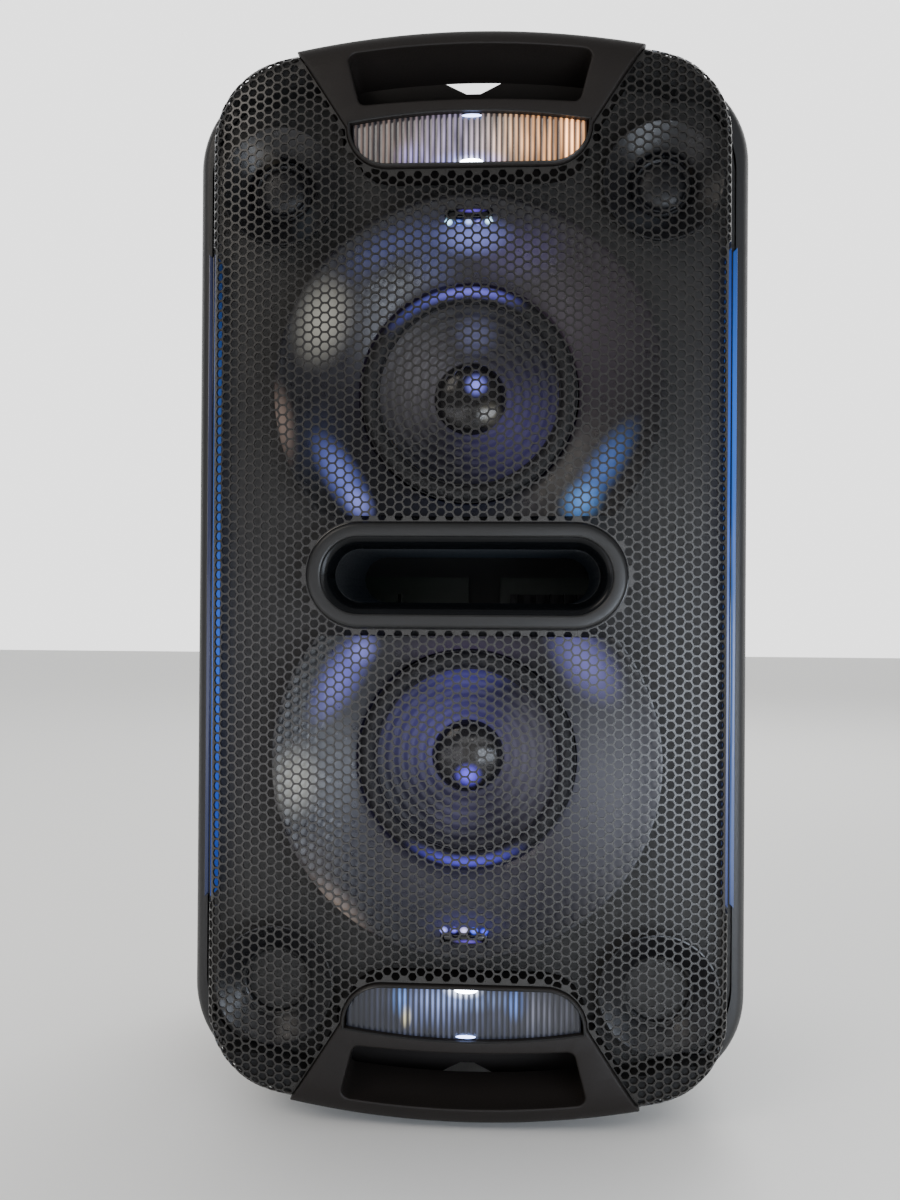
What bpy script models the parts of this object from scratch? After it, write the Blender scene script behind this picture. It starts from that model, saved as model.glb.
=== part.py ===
# A tall party speaker: two woofers and two tweeters behind a perforated front,
# a bass port between the woofers, and a strobe light and a carrying handle at each end.
# Z is up and the front faces -Y. Sizes below are in millimetres, and every mesh is
# scaled to metres as it is made. Heights are measured from the middle of the front.

import math

import bmesh
import bpy

MM = 0.001

# Overall form
MIDDLE_HEIGHT = 301.0          # middle of the front above the floor
HALF_WIDTH = 155.0
HALF_HEIGHT = 297.0
CORNER_RADIUS = 54.0
CROWN_RADIUS = 500.0           # the shallow arc of the top and bottom edges
CORNER_STEPS = 5
CROWN_STEPS = 3
GAP = 0.3                      # between neighbouring pieces

# Depths, from the front towards the back
PORT_FRONT = -145.0
POD_FRONT = -144.5
GRILLE_FRONT = -142.0
GRILLE_EDGE = -119.0
FRAME_FRONT = -118.0
FRAME_WIDEST = -104.0
BAFFLE_FRONT = -116.0
BAFFLE_BACK = -110.0
POD_BACK = -112.0
FRAME_BACK = -88.3
CABINET_FRONT = -88.0
CABINET_BACK = 145.0

# Walls
CABINET_WALL = 3.5
GRILLE_SHEET = 1.0

# Front
GRILLE_HALF_WIDTH = 143.0
GRILLE_HALF_HEIGHT = 297.0
GRILLE_CORNER = 48.0
FOLD_TALL = 0.72               # the folds are this much narrower at the top and bottom
LIGHT_BAR_INNER = 140.4
LIGHT_BAR_OUTER = 146.0
LIGHT_BAR_HALF_LENGTH = 180.0
FRAME_INNER_HALF_WIDTH = 146.4
FRAME_INNER_HALF_HEIGHT = 283.0
FRAME_INNER_CORNER = 47.0

# Drivers
WOOFER_OFFSET = 101.2
BOWL_RADIUS = 106.0
BOWL_MOUTH = 61.2
BOWL_FLAT = 33.0               # where each bowl is cut straight, beside the port
BAFFLE_WOOFER_HOLE = 66.0
TWEETER_ACROSS = 105.7
TWEETER_OFFSET = 216.0
DISH_OFFSET = 227.0            # the blank dishes near the bottom corners
BAFFLE_TWEETER_HOLE = 21.0
WOOFER_LIGHT_OFFSET = 197.0
TURN_STEPS = 32
SMALL_TURN_STEPS = 16

# Port
PORT_HALF_WIDTH = 86.6
PORT_HALF_HEIGHT = 28.7
PORT_END_STEPS = 10
THROAT_INSET = 14.0
SOCKET_INSET = 11.2
DUCT_WALL = 2.4
DUCT_FRONT = -130.7
DUCT_BACK = -10.0

# Handle and strobe pods
POD_HALF_WIDTH = 95.4
POD_PILLOW_HALF_WIDTH = 147.0
POD_PILLOW_CORNER = 52.0
RIM_ACROSS = 44.3              # centre of the rounded lower corner of the strobe
RIM_OFFSET = 242.2
RIM_RADIUS = 22.0
RECESS_RADIUS = 20.0
LENS_SHOULDER = 2.0            # where the lens's outer edge starts above its rounded corner
LENS_RISE = 5.5                # and how far that edge arches
POCKET_TOP = 286.8
POCKET_TOP_BEHIND = 278.3      # the grip bar gets thicker towards its back
POCKET_BOTTOM = 253.5
POCKET_BOTTOM_RISE = 2.5
POCKET_TOP_HALF = 66.8
POCKET_BOTTOM_HALF = 59.0
WELL_HALF_WIDTH = 72.0
WELL_WALL = 4.5
WELL_FLOOR = 243.0
NOTCH_HALF_WIDTH = 40.0
NOTCH_TIP_HALF_WIDTH = 4.0
NOTCH_DEPTH = 16.4

# Control panel, on top of the cabinet
PANEL_HALF_WIDTH = 55.0
PANEL_FRONT = -45.0
PANEL_BACK = 35.0
PANEL_TOP = 278.2
PANEL_BOTTOM = 272.7
BUTTON_RADIUS = 5.0
BUTTON_NAMES = ("power", "light", "volume_down", "volume_up", "source", "pairing")
BUTTON_SPACING = 16.0

# Socket panel, on the back of the cabinet
SOCKETS_HALF_WIDTH = 48.0
SOCKETS_BOTTOM = -175.0
SOCKETS_TOP = -105.0
SOCKETS_MOUTH = 144.2
SOCKETS_FLOOR = 131.0          # the sockets and the knob stand in a recessed tub
SOCKETS_REAR = 128.0
SOCKETS_WALL = 2.5
INLET_ACROSS = -27.0
MEDIA_ACROSS = -27.0
MIC_ACROSS = 22.0
LOW_ROW = -155.0
HIGH_ROW = -125.0

# Feet
FOOT_INNER = 55.0
FOOT_OUTER = 80.0
FOOT_FRONT = -60.0
FOOT_BACK = 100.0

# Finishes: colour, roughness, metallic
FINISHES = {
    "moulding": ((0.040, 0.034, 0.030), 0.62, 0.0),
    "black plastic": ((0.012, 0.012, 0.014), 0.45, 0.0),
    "gloss black": ((0.006, 0.006, 0.008), 0.12, 0.0),
    "painted steel": ((0.020, 0.021, 0.023), 0.40, 0.5),
    "clear plastic": ((0.50, 0.56, 0.66), 0.15, 0.0),
    "blue light": ((0.05, 0.14, 0.70), 0.30, 0.0),
    "violet light": ((0.16, 0.12, 0.75), 0.30, 0.0),
    "paper": ((0.020, 0.020, 0.026), 0.55, 0.0),
    "rubber": ((0.010, 0.010, 0.010), 0.75, 0.0),
    "steel": ((0.42, 0.43, 0.45), 0.35, 1.0),
    "ferrite": ((0.030, 0.030, 0.032), 0.60, 0.0),
    "copper": ((0.70, 0.30, 0.14), 0.35, 1.0),
    "aluminium": ((0.030, 0.030, 0.033), 0.42, 1.0),
    "silk": ((0.015, 0.015, 0.018), 0.50, 0.0),
    "spider cloth": ((0.42, 0.30, 0.10), 0.80, 0.0),
    "circuit board": ((0.02, 0.12, 0.05), 0.50, 0.0),
}


# ---- the scene ----

for old in list(bpy.data.objects):
    bpy.data.objects.remove(old)
parts = bpy.data.collections.new("party_speaker")
cutters = bpy.data.collections.new("cutters")
bpy.context.scene.collection.children.link(parts)
bpy.context.scene.collection.children.link(cutters)
middle = bpy.data.objects.new("middle_of_front", None)
middle.location = (0.0, 0.0, MIDDLE_HEIGHT * MM)
parts.objects.link(middle)


# ---- outlines, as (across, up) points ----

def mirror_across(points):
    # a right half, listed upwards, becomes a whole loop
    left = [(-x, z) for x, z in reversed(points) if abs(x) > 1e-6]
    return points + left


def flip(points, end):
    # end is 1 at the top of the speaker and -1 at the bottom
    return [(x, z * end) for x, z in points]


def arc(centre_x, centre_z, radius, start, stop, steps):
    points = []
    for step in range(steps + 1):
        angle = start + (stop - start) * step / steps
        points.append((centre_x + radius * math.cos(angle), centre_z + radius * math.sin(angle)))
    return points


def crown_height(x):
    return HALF_HEIGHT - CROWN_RADIUS + math.sqrt(CROWN_RADIUS ** 2 - x ** 2)


def outline(half_width, half_height, corner):
    corner_x = half_width - corner
    reach = CROWN_RADIUS - corner
    join = math.acos(corner_x / reach)
    crown_z = half_height - CROWN_RADIUS
    quarter = arc(corner_x, crown_z + reach * math.sin(join), corner, 0.0, join, CORNER_STEPS)
    quarter += arc(0.0, crown_z, CROWN_RADIUS, join, math.pi / 2, CROWN_STEPS)[1:]
    right = flip(reversed(quarter), -1) + quarter
    return mirror_across(right)


def stadium(half_width, half_height, inset=0.0, steps=PORT_END_STEPS):
    radius = half_height - inset
    straight = half_width - half_height
    right = arc(straight, 0.0, radius, -math.pi / 2, math.pi / 2, steps)
    left = arc(-straight, 0.0, radius, math.pi / 2, 3 * math.pi / 2, steps)
    return right + left


def port_outline(inset=0.0):
    return stadium(PORT_HALF_WIDTH, PORT_HALF_HEIGHT, inset)


def strobe_side(radius):
    # the rounded lower corner that the strobe's rim, recess and lens share
    return arc(RIM_ACROSS, RIM_OFFSET, radius, -math.pi / 2, 0.0, 4)


def pod_clearance_outline(grow=0.5):
    # the pod's outline a little wider, and carried straight on past the end of the speaker
    width = POD_HALF_WIDTH + grow
    top = [(width, crown_height(POD_HALF_WIDTH)), (width, HALF_HEIGHT + 20)]
    return mirror_across(strobe_side(RIM_RADIUS + grow) + top)


def lens_outline(radius):
    side = strobe_side(radius)
    edge = side[-1][0]
    top = []
    for step in range(5):
        x = edge * (1 - step / 4)
        top.append((x, RIM_OFFSET + LENS_SHOULDER + LENS_RISE * (1 - (x / edge) ** 2)))
    return mirror_across(side + top)


def pocket_outline(top_height):
    sag = crown_height(POCKET_TOP_HALF) - HALF_HEIGHT
    bottom = [(0.0, POCKET_BOTTOM + POCKET_BOTTOM_RISE),
              (POCKET_BOTTOM_HALF / 2, POCKET_BOTTOM + POCKET_BOTTOM_RISE * 0.75),
              (POCKET_BOTTOM_HALF, POCKET_BOTTOM)]
    top = [(POCKET_TOP_HALF, top_height + sag), (POCKET_TOP_HALF / 2, top_height + sag / 4),
           (0.0, top_height)]
    return mirror_across(bottom + top)


# ---- solids, as a bmesh in millimetres ----

def box(low, high):
    bm = bmesh.new()
    bmesh.ops.create_cube(bm, size=1.0)
    size = [b - a for a, b in zip(low, high)]
    centre = [(a + b) / 2 for a, b in zip(low, high)]
    bmesh.ops.scale(bm, vec=size, verts=bm.verts)
    bmesh.ops.translate(bm, vec=centre, verts=bm.verts)
    return bm


def prism(points, front, back):
    bm = bmesh.new()
    face = bm.faces.new([bm.verts.new((x, front, z)) for x, z in points])
    made = bmesh.ops.extrude_face_region(bm, geom=[face])
    moved = [item for item in made["geom"] if isinstance(item, bmesh.types.BMVert)]
    bmesh.ops.translate(bm, vec=(0.0, back - front, 0.0), verts=moved)
    bmesh.ops.recalc_face_normals(bm, faces=bm.faces)
    return bm


def loft(sections, close_front=True, close_back=True, ring=False):
    # sections are (depth, outline) with the same number of points in each outline
    bm = bmesh.new()
    loops = []
    for depth, points in sections:
        loops.append([bm.verts.new((x, depth, z)) for x, z in points])
    pairs = list(zip(loops, loops[1:]))
    if ring:
        pairs.append((loops[-1], loops[0]))
    for near, far in pairs:
        for index in range(len(near)):
            bm.faces.new((near[index - 1], near[index], far[index], far[index - 1]))
    if close_front and not ring:
        bm.faces.new(loops[0])
    if close_back and not ring:
        bm.faces.new(loops[-1])
    bmesh.ops.recalc_face_normals(bm, faces=bm.faces)
    return bm


def rods(places, radius, front, back, steps=12):
    # round rods along Y, at (across, up) places
    bm = bmesh.new()
    for x, z in places:
        made = bmesh.ops.create_cone(bm, cap_ends=True, segments=steps, radius1=radius,
                                     radius2=radius, depth=1.0)
        verts = made["verts"]
        for vert in verts:
            across, up, along = vert.co
            vert.co = (x + across, (front + back) / 2 - along * (back - front), z + up)
    return bm


def boxes(spans):
    bm = bmesh.new()
    for low, high in spans:
        made = bmesh.ops.create_cube(bm, size=1.0)
        for vert in made["verts"]:
            place = [a + (b - a) * (c + 0.5) for a, b, c in zip(low, high, vert.co)]
            vert.co = place
    return bm


# ---- objects ----

def place_mesh(name, bm, collection, location):
    bmesh.ops.scale(bm, vec=(MM, MM, MM), verts=bm.verts)
    mesh = bpy.data.meshes.new(name)
    bm.to_mesh(mesh)
    bm.free()
    obj = bpy.data.objects.new(name, mesh)
    obj.location = [value * MM for value in location]
    obj.parent = middle
    collection.objects.link(obj)
    return obj


def material(name, finish):
    colour, roughness, metallic = FINISHES[finish]
    made = bpy.data.materials.new(name)
    made.use_nodes = True
    shader = made.node_tree.nodes["Principled BSDF"]
    shader.inputs["Base Color"].default_value = (*colour, 1.0)
    shader.inputs["Roughness"].default_value = roughness
    shader.inputs["Metallic"].default_value = metallic
    made.diffuse_color = (*colour, 1.0)
    return made


def part(name, bm, finish, location=(0.0, 0.0, 0.0), smooth=False):
    obj = place_mesh(name, bm, parts, location)
    obj.data.materials.append(material(name, finish))
    if smooth:
        obj.data.shade_smooth()
        obj.data.set_sharp_from_angle(angle=math.radians(40))
    return obj


def cutter(name, bm, location=(0.0, 0.0, 0.0)):
    obj = place_mesh(name, bm, cutters, location)
    obj.hide_render = True
    obj.display_type = "WIRE"
    return obj


def combine(obj, other, operation="DIFFERENCE"):
    modifier = obj.modifiers.new(other.name, "BOOLEAN")
    modifier.object = other
    modifier.operation = operation
    return obj


def wall(obj, thickness):
    modifier = obj.modifiers.new("wall", "SOLIDIFY")
    modifier.thickness = thickness * MM
    modifier.offset = -1.0
    modifier.use_even_offset = True
    return obj


def soften(obj, width, segments=1):
    modifier = obj.modifiers.new("soft edges", "BEVEL")
    modifier.width = width * MM
    modifier.segments = segments
    modifier.limit_method = "ANGLE"
    modifier.angle_limit = math.radians(40)
    return obj


def turn(obj, steps, upright):
    # Screws the profile round its own Z axis, which then points to the front or stays up
    modifier = obj.modifiers.new("turn", "SCREW")
    modifier.steps = steps
    modifier.render_steps = steps
    modifier.use_merge_vertices = True
    modifier.merge_threshold = 0.00001
    modifier.use_smooth_shade = True
    if not upright:
        obj.rotation_euler = (math.pi / 2, 0.0, 0.0)
    return obj


def turned_profile(profile, upright):
    # profile is (radius, depth) towards the back, or (radius, height) for an upright piece
    points = [(radius, along if upright else -along) for radius, along in profile]
    area = 0.0
    for (r1, h1), (r2, h2) in zip(points, points[1:] + points[:1]):
        area += r1 * h2 - r2 * h1
    if area > 0:
        points.reverse()
    on_axis = [index for index, (radius, _) in enumerate(points) if radius == 0.0]
    closed = not on_axis
    if on_axis:
        # the loop is opened at the axis, which closes it
        start = next(index for index in on_axis if points[index - 1][0] == 0.0)
        points = points[start:] + points[:start]
    bm = bmesh.new()
    verts = [bm.verts.new((radius, 0.0, height)) for radius, height in points]
    for first, second in zip(verts, verts[1:]):
        bm.edges.new((first, second))
    if closed:
        bm.edges.new((verts[-1], verts[0]))
    return bm


def turned(name, profile, finish, location, steps=TURN_STEPS, upright=False):
    obj = part(name, turned_profile(profile, upright), finish, location)
    return turn(obj, steps, upright)


def turned_cutter(name, profile, location, steps=TURN_STEPS):
    obj = cutter(name, turned_profile(profile, False), location)
    return turn(obj, steps, False)


# ---- cutters that several pieces share ----

ENDS = (("top", 1), ("bottom", -1))
SIDES = (("left", -1), ("right", 1))
pod_clearance = {}
well_clearance = {}
for end_name, end in ENDS:
    pod_clearance[end] = cutter(end_name + "_pod_clearance", prism(
        flip(pod_clearance_outline(), end), -160.0, POD_BACK + GAP))
    well_low, well_high = sorted((end * (WELL_FLOOR - GAP), end * 320.0))
    well_clearance[end] = cutter(end_name + "_well_clearance", box(
        (-WELL_HALF_WIDTH - GAP, POD_BACK - 10, well_low),
        (WELL_HALF_WIDTH + GAP, CABINET_FRONT + 2, well_high)))


# ---- enclosure ----

def cabinet_sections(grow=0.0):
    taper = ((CABINET_FRONT, 0.985, 0.945), (-20.0, 0.980, 0.945), (60.0, 0.940, 0.940),
             (120.0, 0.860, 0.910), (139.0, 0.800, 0.875), (CABINET_BACK, 0.770, 0.850))
    base = outline(HALF_WIDTH, HALF_HEIGHT, CORNER_RADIUS)
    sections = []
    for depth, wide, tall in taper:
        wide += grow / HALF_WIDTH
        tall += grow / HALF_HEIGHT
        sections.append((depth, [(x * wide, z * tall) for x, z in base]))
    return sections


def make_cabinet():
    cabinet = part("rear_cabinet", loft(cabinet_sections(), close_front=False),
                   "black plastic", smooth=True)
    wall(cabinet, CABINET_WALL)
    combine(cabinet, cutter("control_panel_opening", box(
        (-PANEL_HALF_WIDTH, PANEL_FRONT, PANEL_BOTTOM - 5),
        (PANEL_HALF_WIDTH, PANEL_BACK, HALF_HEIGHT))))
    combine(cabinet, cutter("socket_panel_opening", box(
        (-SOCKETS_HALF_WIDTH, SOCKETS_REAR - 10, SOCKETS_BOTTOM),
        (SOCKETS_HALF_WIDTH, CABINET_BACK + 5, SOCKETS_TOP))))


def make_side_frames():
    sections = [
        (FRAME_FRONT, outline(HALF_WIDTH - 6.5, HALF_HEIGHT - 6.5, CORNER_RADIUS - 6.5)),
        (FRAME_WIDEST, outline(HALF_WIDTH, HALF_HEIGHT, CORNER_RADIUS)),
        (FRAME_BACK, outline(HALF_WIDTH, HALF_HEIGHT, CORNER_RADIUS)),
    ]
    inside = cutter("frame_inside", prism(
        outline(FRAME_INNER_HALF_WIDTH, FRAME_INNER_HALF_HEIGHT, FRAME_INNER_CORNER),
        FRAME_FRONT - 5, FRAME_BACK + 5))
    for name, side in SIDES:
        frame = part(name + "_side_frame", loft(sections), "black plastic", smooth=True)
        low, high = sorted((side * 10.0, side * (HALF_WIDTH + 10)))
        half = cutter(name + "_half", box((low, -200.0, -320.0), (high, 0.0, 320.0)))
        combine(frame, half, "INTERSECT")
        combine(frame, inside)
        for end in (1, -1):
            combine(frame, pod_clearance[end])
            combine(frame, well_clearance[end])


def make_baffle():
    baffle = part("front_baffle", prism(
        outline(FRAME_INNER_HALF_WIDTH - GAP, FRAME_INNER_HALF_HEIGHT - GAP,
                FRAME_INNER_CORNER - GAP), BAFFLE_FRONT, BAFFLE_BACK), "black plastic")
    for name, side in SIDES:
        dish = [(33.0, -130.0), (18.5, -122.0), (17.8, -113.0), (20.4, -113.0),
                (20.4, -121.0), (33.0, -128.2)]
        combine(baffle, turned_cutter(name + "_dish", dish,
                                      (side * TWEETER_ACROSS, 0.0, -DISH_OFFSET), 16), "UNION")
    for end in (1, -1):
        combine(baffle, pod_clearance[end])
        combine(baffle, well_clearance[end])
    woofers = [(0.0, WOOFER_OFFSET), (0.0, -WOOFER_OFFSET)]
    combine(baffle, cutter("woofer_holes", rods(
        woofers, BAFFLE_WOOFER_HOLE, BAFFLE_FRONT - 5, BAFFLE_BACK + 5, 24)))
    tweeters = [(-TWEETER_ACROSS, TWEETER_OFFSET), (TWEETER_ACROSS, TWEETER_OFFSET)]
    combine(baffle, cutter("tweeter_holes", rods(
        tweeters, BAFFLE_TWEETER_HOLE, BAFFLE_FRONT - 5, BAFFLE_BACK + 5, 16)))
    combine(baffle, cutter("port_hole", prism(
        port_outline(SOCKET_INSET), BAFFLE_FRONT - 5, BAFFLE_BACK + 5)))


def pillow_sections(half_width, half_height, corner, fold):
    # fold is (inset from the outer edge, depth there)
    sections = []
    for inset, depth in fold:
        shape = outline(half_width - inset, half_height - FOLD_TALL * inset, corner - inset / 2)
        sections.append((depth, shape))
    return sections


def make_grille():
    # a flat middle, a gentle curve and a tight fold at the edge
    fold = ((0.0, GRILLE_EDGE), (1.5, -129.5), (5.5, -135.5), (14.0, -139.0),
            (30.0, -141.2), (50.0, GRILLE_FRONT))
    sections = pillow_sections(GRILLE_HALF_WIDTH, GRILLE_HALF_HEIGHT, GRILLE_CORNER, fold)
    grille = part("front_grille", loft(sections, close_front=False), "painted steel", smooth=True)
    wall(grille, GRILLE_SHEET)
    for end in (1, -1):
        combine(grille, pod_clearance[end])
    combine(grille, cutter("grille_port_hole", prism(port_outline(-0.5), -160.0, -100.0)))
    edge = LIGHT_BAR_INNER - 0.5
    reach = LIGHT_BAR_HALF_LENGTH + 1.0
    combine(grille, cutter("light_bar_notches", boxes((
        ((-200.0, -150.0, -reach), (-edge, -100.0, reach)),
        ((edge, -150.0, -reach), (200.0, -100.0, reach))))))


def make_light_bars():
    for name, side in SIDES:
        low, high = sorted((side * LIGHT_BAR_INNER, side * LIGHT_BAR_OUTER))
        bar = part(name + "_light_bar", box(
            (low, -127.0, -LIGHT_BAR_HALF_LENGTH), (high, -117.0, LIGHT_BAR_HALF_LENGTH)),
            "blue light")
        soften(bar, 1.2, 2)


def make_port():
    ring = [(BAFFLE_FRONT - 0.6, port_outline()), (-142.4, port_outline()),
            (-144.4, port_outline(0.8)), (PORT_FRONT, port_outline(2.6)),
            (-144.2, port_outline(5.4)), (-140.5, port_outline(8.2)),
            (DUCT_FRONT - GAP, port_outline(THROAT_INSET)),
            (DUCT_FRONT - GAP, port_outline(SOCKET_INSET)),
            (BAFFLE_FRONT - 0.6, port_outline(SOCKET_INSET))]
    part("port_ring", loft(ring, ring=True), "gloss black", smooth=True)
    inner = port_outline(THROAT_INSET)
    outer = port_outline(THROAT_INSET - DUCT_WALL)
    duct = [(DUCT_FRONT, outer), (DUCT_BACK, outer), (DUCT_BACK, inner), (DUCT_FRONT, inner)]
    part("port_duct", loft(duct, ring=True), "black plastic", smooth=True)


# ---- handle and strobe pods ----

def make_pod(end_name, end):
    # the same pillow as the grille, a little prouder, trimmed to the pod's outline
    fold = ((0.0, POD_BACK + 5), (0.0, -131.0), (2.5, -138.0), (8.0, -141.8),
            (20.0, -143.9), (40.0, POD_FRONT))
    pillow = loft(pillow_sections(POD_PILLOW_HALF_WIDTH, HALF_HEIGHT, POD_PILLOW_CORNER, fold))
    pod = part(end_name + "_handle", prism(
        flip(pod_clearance_outline(0.0), end), -160.0, POD_BACK), "moulding")
    combine(pod, cutter(end_name + "_pillow", pillow), "INTERSECT")
    pocket = ((-160.0, POCKET_TOP), (-141.0, POCKET_TOP), (POD_BACK, POCKET_TOP_BEHIND),
              (-100.0, POCKET_TOP_BEHIND))
    combine(pod, cutter(end_name + "_pocket", loft(
        [(depth, flip(pocket_outline(height), end)) for depth, height in pocket])))
    combine(pod, cutter(end_name + "_strobe_recess", prism(
        flip(lens_outline(RECESS_RADIUS), end), -160.0, -122.0)))
    part(end_name + "_strobe_lens", prism(
        flip(lens_outline(RECESS_RADIUS - GAP), end), -141.5, -138.5), "clear plastic")
    part(end_name + "_strobe_board", prism(
        flip(lens_outline(RECESS_RADIUS - 1.0), end), -124.0, -122.4), "circuit board")


def make_well(end_name, end):
    # an open tray behind the pod: fingers reach through the pod's pocket or in from the end
    corner = crown_height(WELL_HALF_WIDTH)
    half = [(WELL_HALF_WIDTH, WELL_FLOOR), (WELL_HALF_WIDTH, corner),
            (WELL_HALF_WIDTH / 2, crown_height(WELL_HALF_WIDTH / 2)), (0.0, HALF_HEIGHT)]
    tray = part(end_name + "_handle_well", prism(
        flip(mirror_across(half), end), POD_BACK + GAP, FRAME_BACK), "black plastic")
    inner = WELL_HALF_WIDTH - WELL_WALL
    low, high = sorted((end * POCKET_BOTTOM, end * (HALF_HEIGHT + 20)))
    combine(tray, cutter(end_name + "_well_inside", box(
        (-inner, POD_BACK - 10, low), (inner, FRAME_BACK - WELL_WALL + 0.5, high))))
    notch = [(NOTCH_TIP_HALF_WIDTH, HALF_HEIGHT - NOTCH_DEPTH), (NOTCH_HALF_WIDTH, HALF_HEIGHT + 1.5)]
    combine(tray, cutter(end_name + "_notch", prism(
        flip(mirror_across(notch), end), FRAME_BACK - WELL_WALL - 5, FRAME_BACK + 5)))


# ---- woofers ----

def make_woofer(name, end):
    centre = (0.0, 0.0, end * WOOFER_OFFSET)

    def piece(label, profile, finish, steps=TURN_STEPS):
        return turned(name + "_woofer_" + label, profile, finish, centre, steps)

    bowl = piece("bowl", [
        (BOWL_RADIUS, -137.8), (84.0, -132.0), (BOWL_MOUTH, -123.4), (BOWL_MOUTH, -116.6),
        (63.4, -116.6), (63.4, -122.0), (84.0, -129.6), (BOWL_RADIUS, -135.6)], "gloss black")
    low, high = sorted((0.0, end * BOWL_FLAT))
    combine(bowl, cutter(name + "_bowl_flat", box(
        (-120.0, -150.0, low - 20 * (end > 0)), (120.0, -100.0, high + 20 * (end < 0)))))
    basket = piece("basket", [
        (76.0, -109.7), (76.0, -106.7), (70.5, -106.7), (48.0, -78.0), (48.0, -75.0),
        (17.0, -75.0), (17.0, -77.6), (46.0, -77.6), (67.0, -105.0), (67.0, -109.7)],
        "steel", 24)
    combine(basket, cutter(name + "_basket_windows", crossed_bars(), centre))
    piece("magnet", [
        (0.0, -74.7), (12.2, -74.7), (12.2, -50.0), (14.4, -50.0), (14.4, -74.7),
        (45.0, -74.7), (45.0, -46.0), (0.0, -46.0)], "ferrite", 20)
    piece("spider", [
        (14.6, -94.0), (28.0, -92.6), (42.0, -94.0), (56.0, -92.8),
        (56.0, -92.0), (42.0, -93.2), (28.0, -91.8), (14.6, -93.2)], "spider cloth", 20)
    piece("surround", [
        (50.3, -121.5), (55.3, -125.2), (60.3, -121.5), (60.3, -120.3), (55.3, -123.8),
        (50.3, -120.3)], "rubber", 28)
    piece("cone", [
        (50.0, -121.5), (31.0, -110.0), (14.5, -102.6), (14.5, -101.2), (31.0, -108.7),
        (50.0, -120.3)], "paper", 28)
    piece("dust_cap", [
        (0.0, -113.6), (10.0, -112.2), (20.0, -106.2), (19.2, -105.6), (9.6, -111.0),
        (0.0, -112.4)], "gloss black", 20)
    piece("voice_coil", [
        (13.8, -102.2), (13.8, -57.0), (12.8, -57.0), (12.8, -102.2)], "copper", 20)


def crossed_bars():
    # three long bars crossing on the axis, which cut six windows in a basket
    bm = bmesh.new()
    for index in range(3):
        angle = math.radians(60 * index)
        made = bmesh.ops.create_cube(bm, size=1.0)
        for vert in made["verts"]:
            along, depth, aside = vert.co.x * 160, -92.0 + vert.co.y * 17, vert.co.z * 22
            x = along * math.cos(angle) - aside * math.sin(angle)
            z = along * math.sin(angle) + aside * math.cos(angle)
            vert.co = (x, depth, z)
    return bm


def make_woofer_light(name, end):
    height = end * WOOFER_LIGHT_OFFSET
    light = part(name + "_woofer_light", box(
        (-13.0, -139.4, height - 2.5), (13.0, -136.9, height + 2.5)), "violet light")
    soften(light, 0.7)


# ---- tweeters ----

def make_tweeter(name, side):
    centre = (side * TWEETER_ACROSS, 0.0, TWEETER_OFFSET)
    turned(name + "_tweeter_guide", [
        (33.0, -130.0), (18.5, -122.0), (17.8, -116.6), (20.4, -116.6), (20.4, -121.0),
        (33.0, -128.2)], "gloss black", centre, 24)
    turned(name + "_tweeter_dome", [
        (0.0, -123.4), (7.5, -122.1), (14.0, -117.4), (16.8, -117.4), (16.8, -116.6),
        (13.4, -116.6), (7.1, -121.2), (0.0, -122.5)], "silk", centre, 20)
    turned(name + "_tweeter_motor", [
        (0.0, -114.6), (20.2, -114.6), (20.2, -109.7), (26.0, -109.7), (26.0, -95.0),
        (0.0, -95.0)], "ferrite", centre, 16)


# ---- control panel ----

def button_places():
    count = len(BUTTON_NAMES)
    first = -BUTTON_SPACING * (count - 1) / 2
    return [(name, first + BUTTON_SPACING * index) for index, name in enumerate(BUTTON_NAMES)]


def make_control_panel():
    middle_y = (PANEL_FRONT + PANEL_BACK) / 2
    panel = part("control_panel", box(
        (-PANEL_HALF_WIDTH + GAP, PANEL_FRONT + GAP, PANEL_BOTTOM),
        (PANEL_HALF_WIDTH - GAP, PANEL_BACK - GAP, PANEL_TOP)), "moulding")
    holes = bmesh.new()
    for name, x in button_places():
        made = bmesh.ops.create_cone(holes, cap_ends=True, segments=SMALL_TURN_STEPS,
                                     radius1=BUTTON_RADIUS + 0.4, radius2=BUTTON_RADIUS + 0.4,
                                     depth=20.0)
        bmesh.ops.translate(holes, vec=(x, middle_y, PANEL_TOP), verts=made["verts"])
        turned(name + "_button", [
            (0.0, 279.6), (4.2, 279.6), (BUTTON_RADIUS, 279.0), (BUTTON_RADIUS, 272.0),
            (6.2, 272.0), (6.2, 270.4), (0.0, 270.4)], "rubber",
            (x, middle_y, 0.0), SMALL_TURN_STEPS, upright=True)
    combine(panel, cutter("button_holes", holes))
    part("control_board", box(
        (-PANEL_HALF_WIDTH + 3, PANEL_FRONT + 10, 266.0),
        (PANEL_HALF_WIDTH - 3, PANEL_BACK - 10, 267.6)), "circuit board")


# ---- socket panel ----

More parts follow.
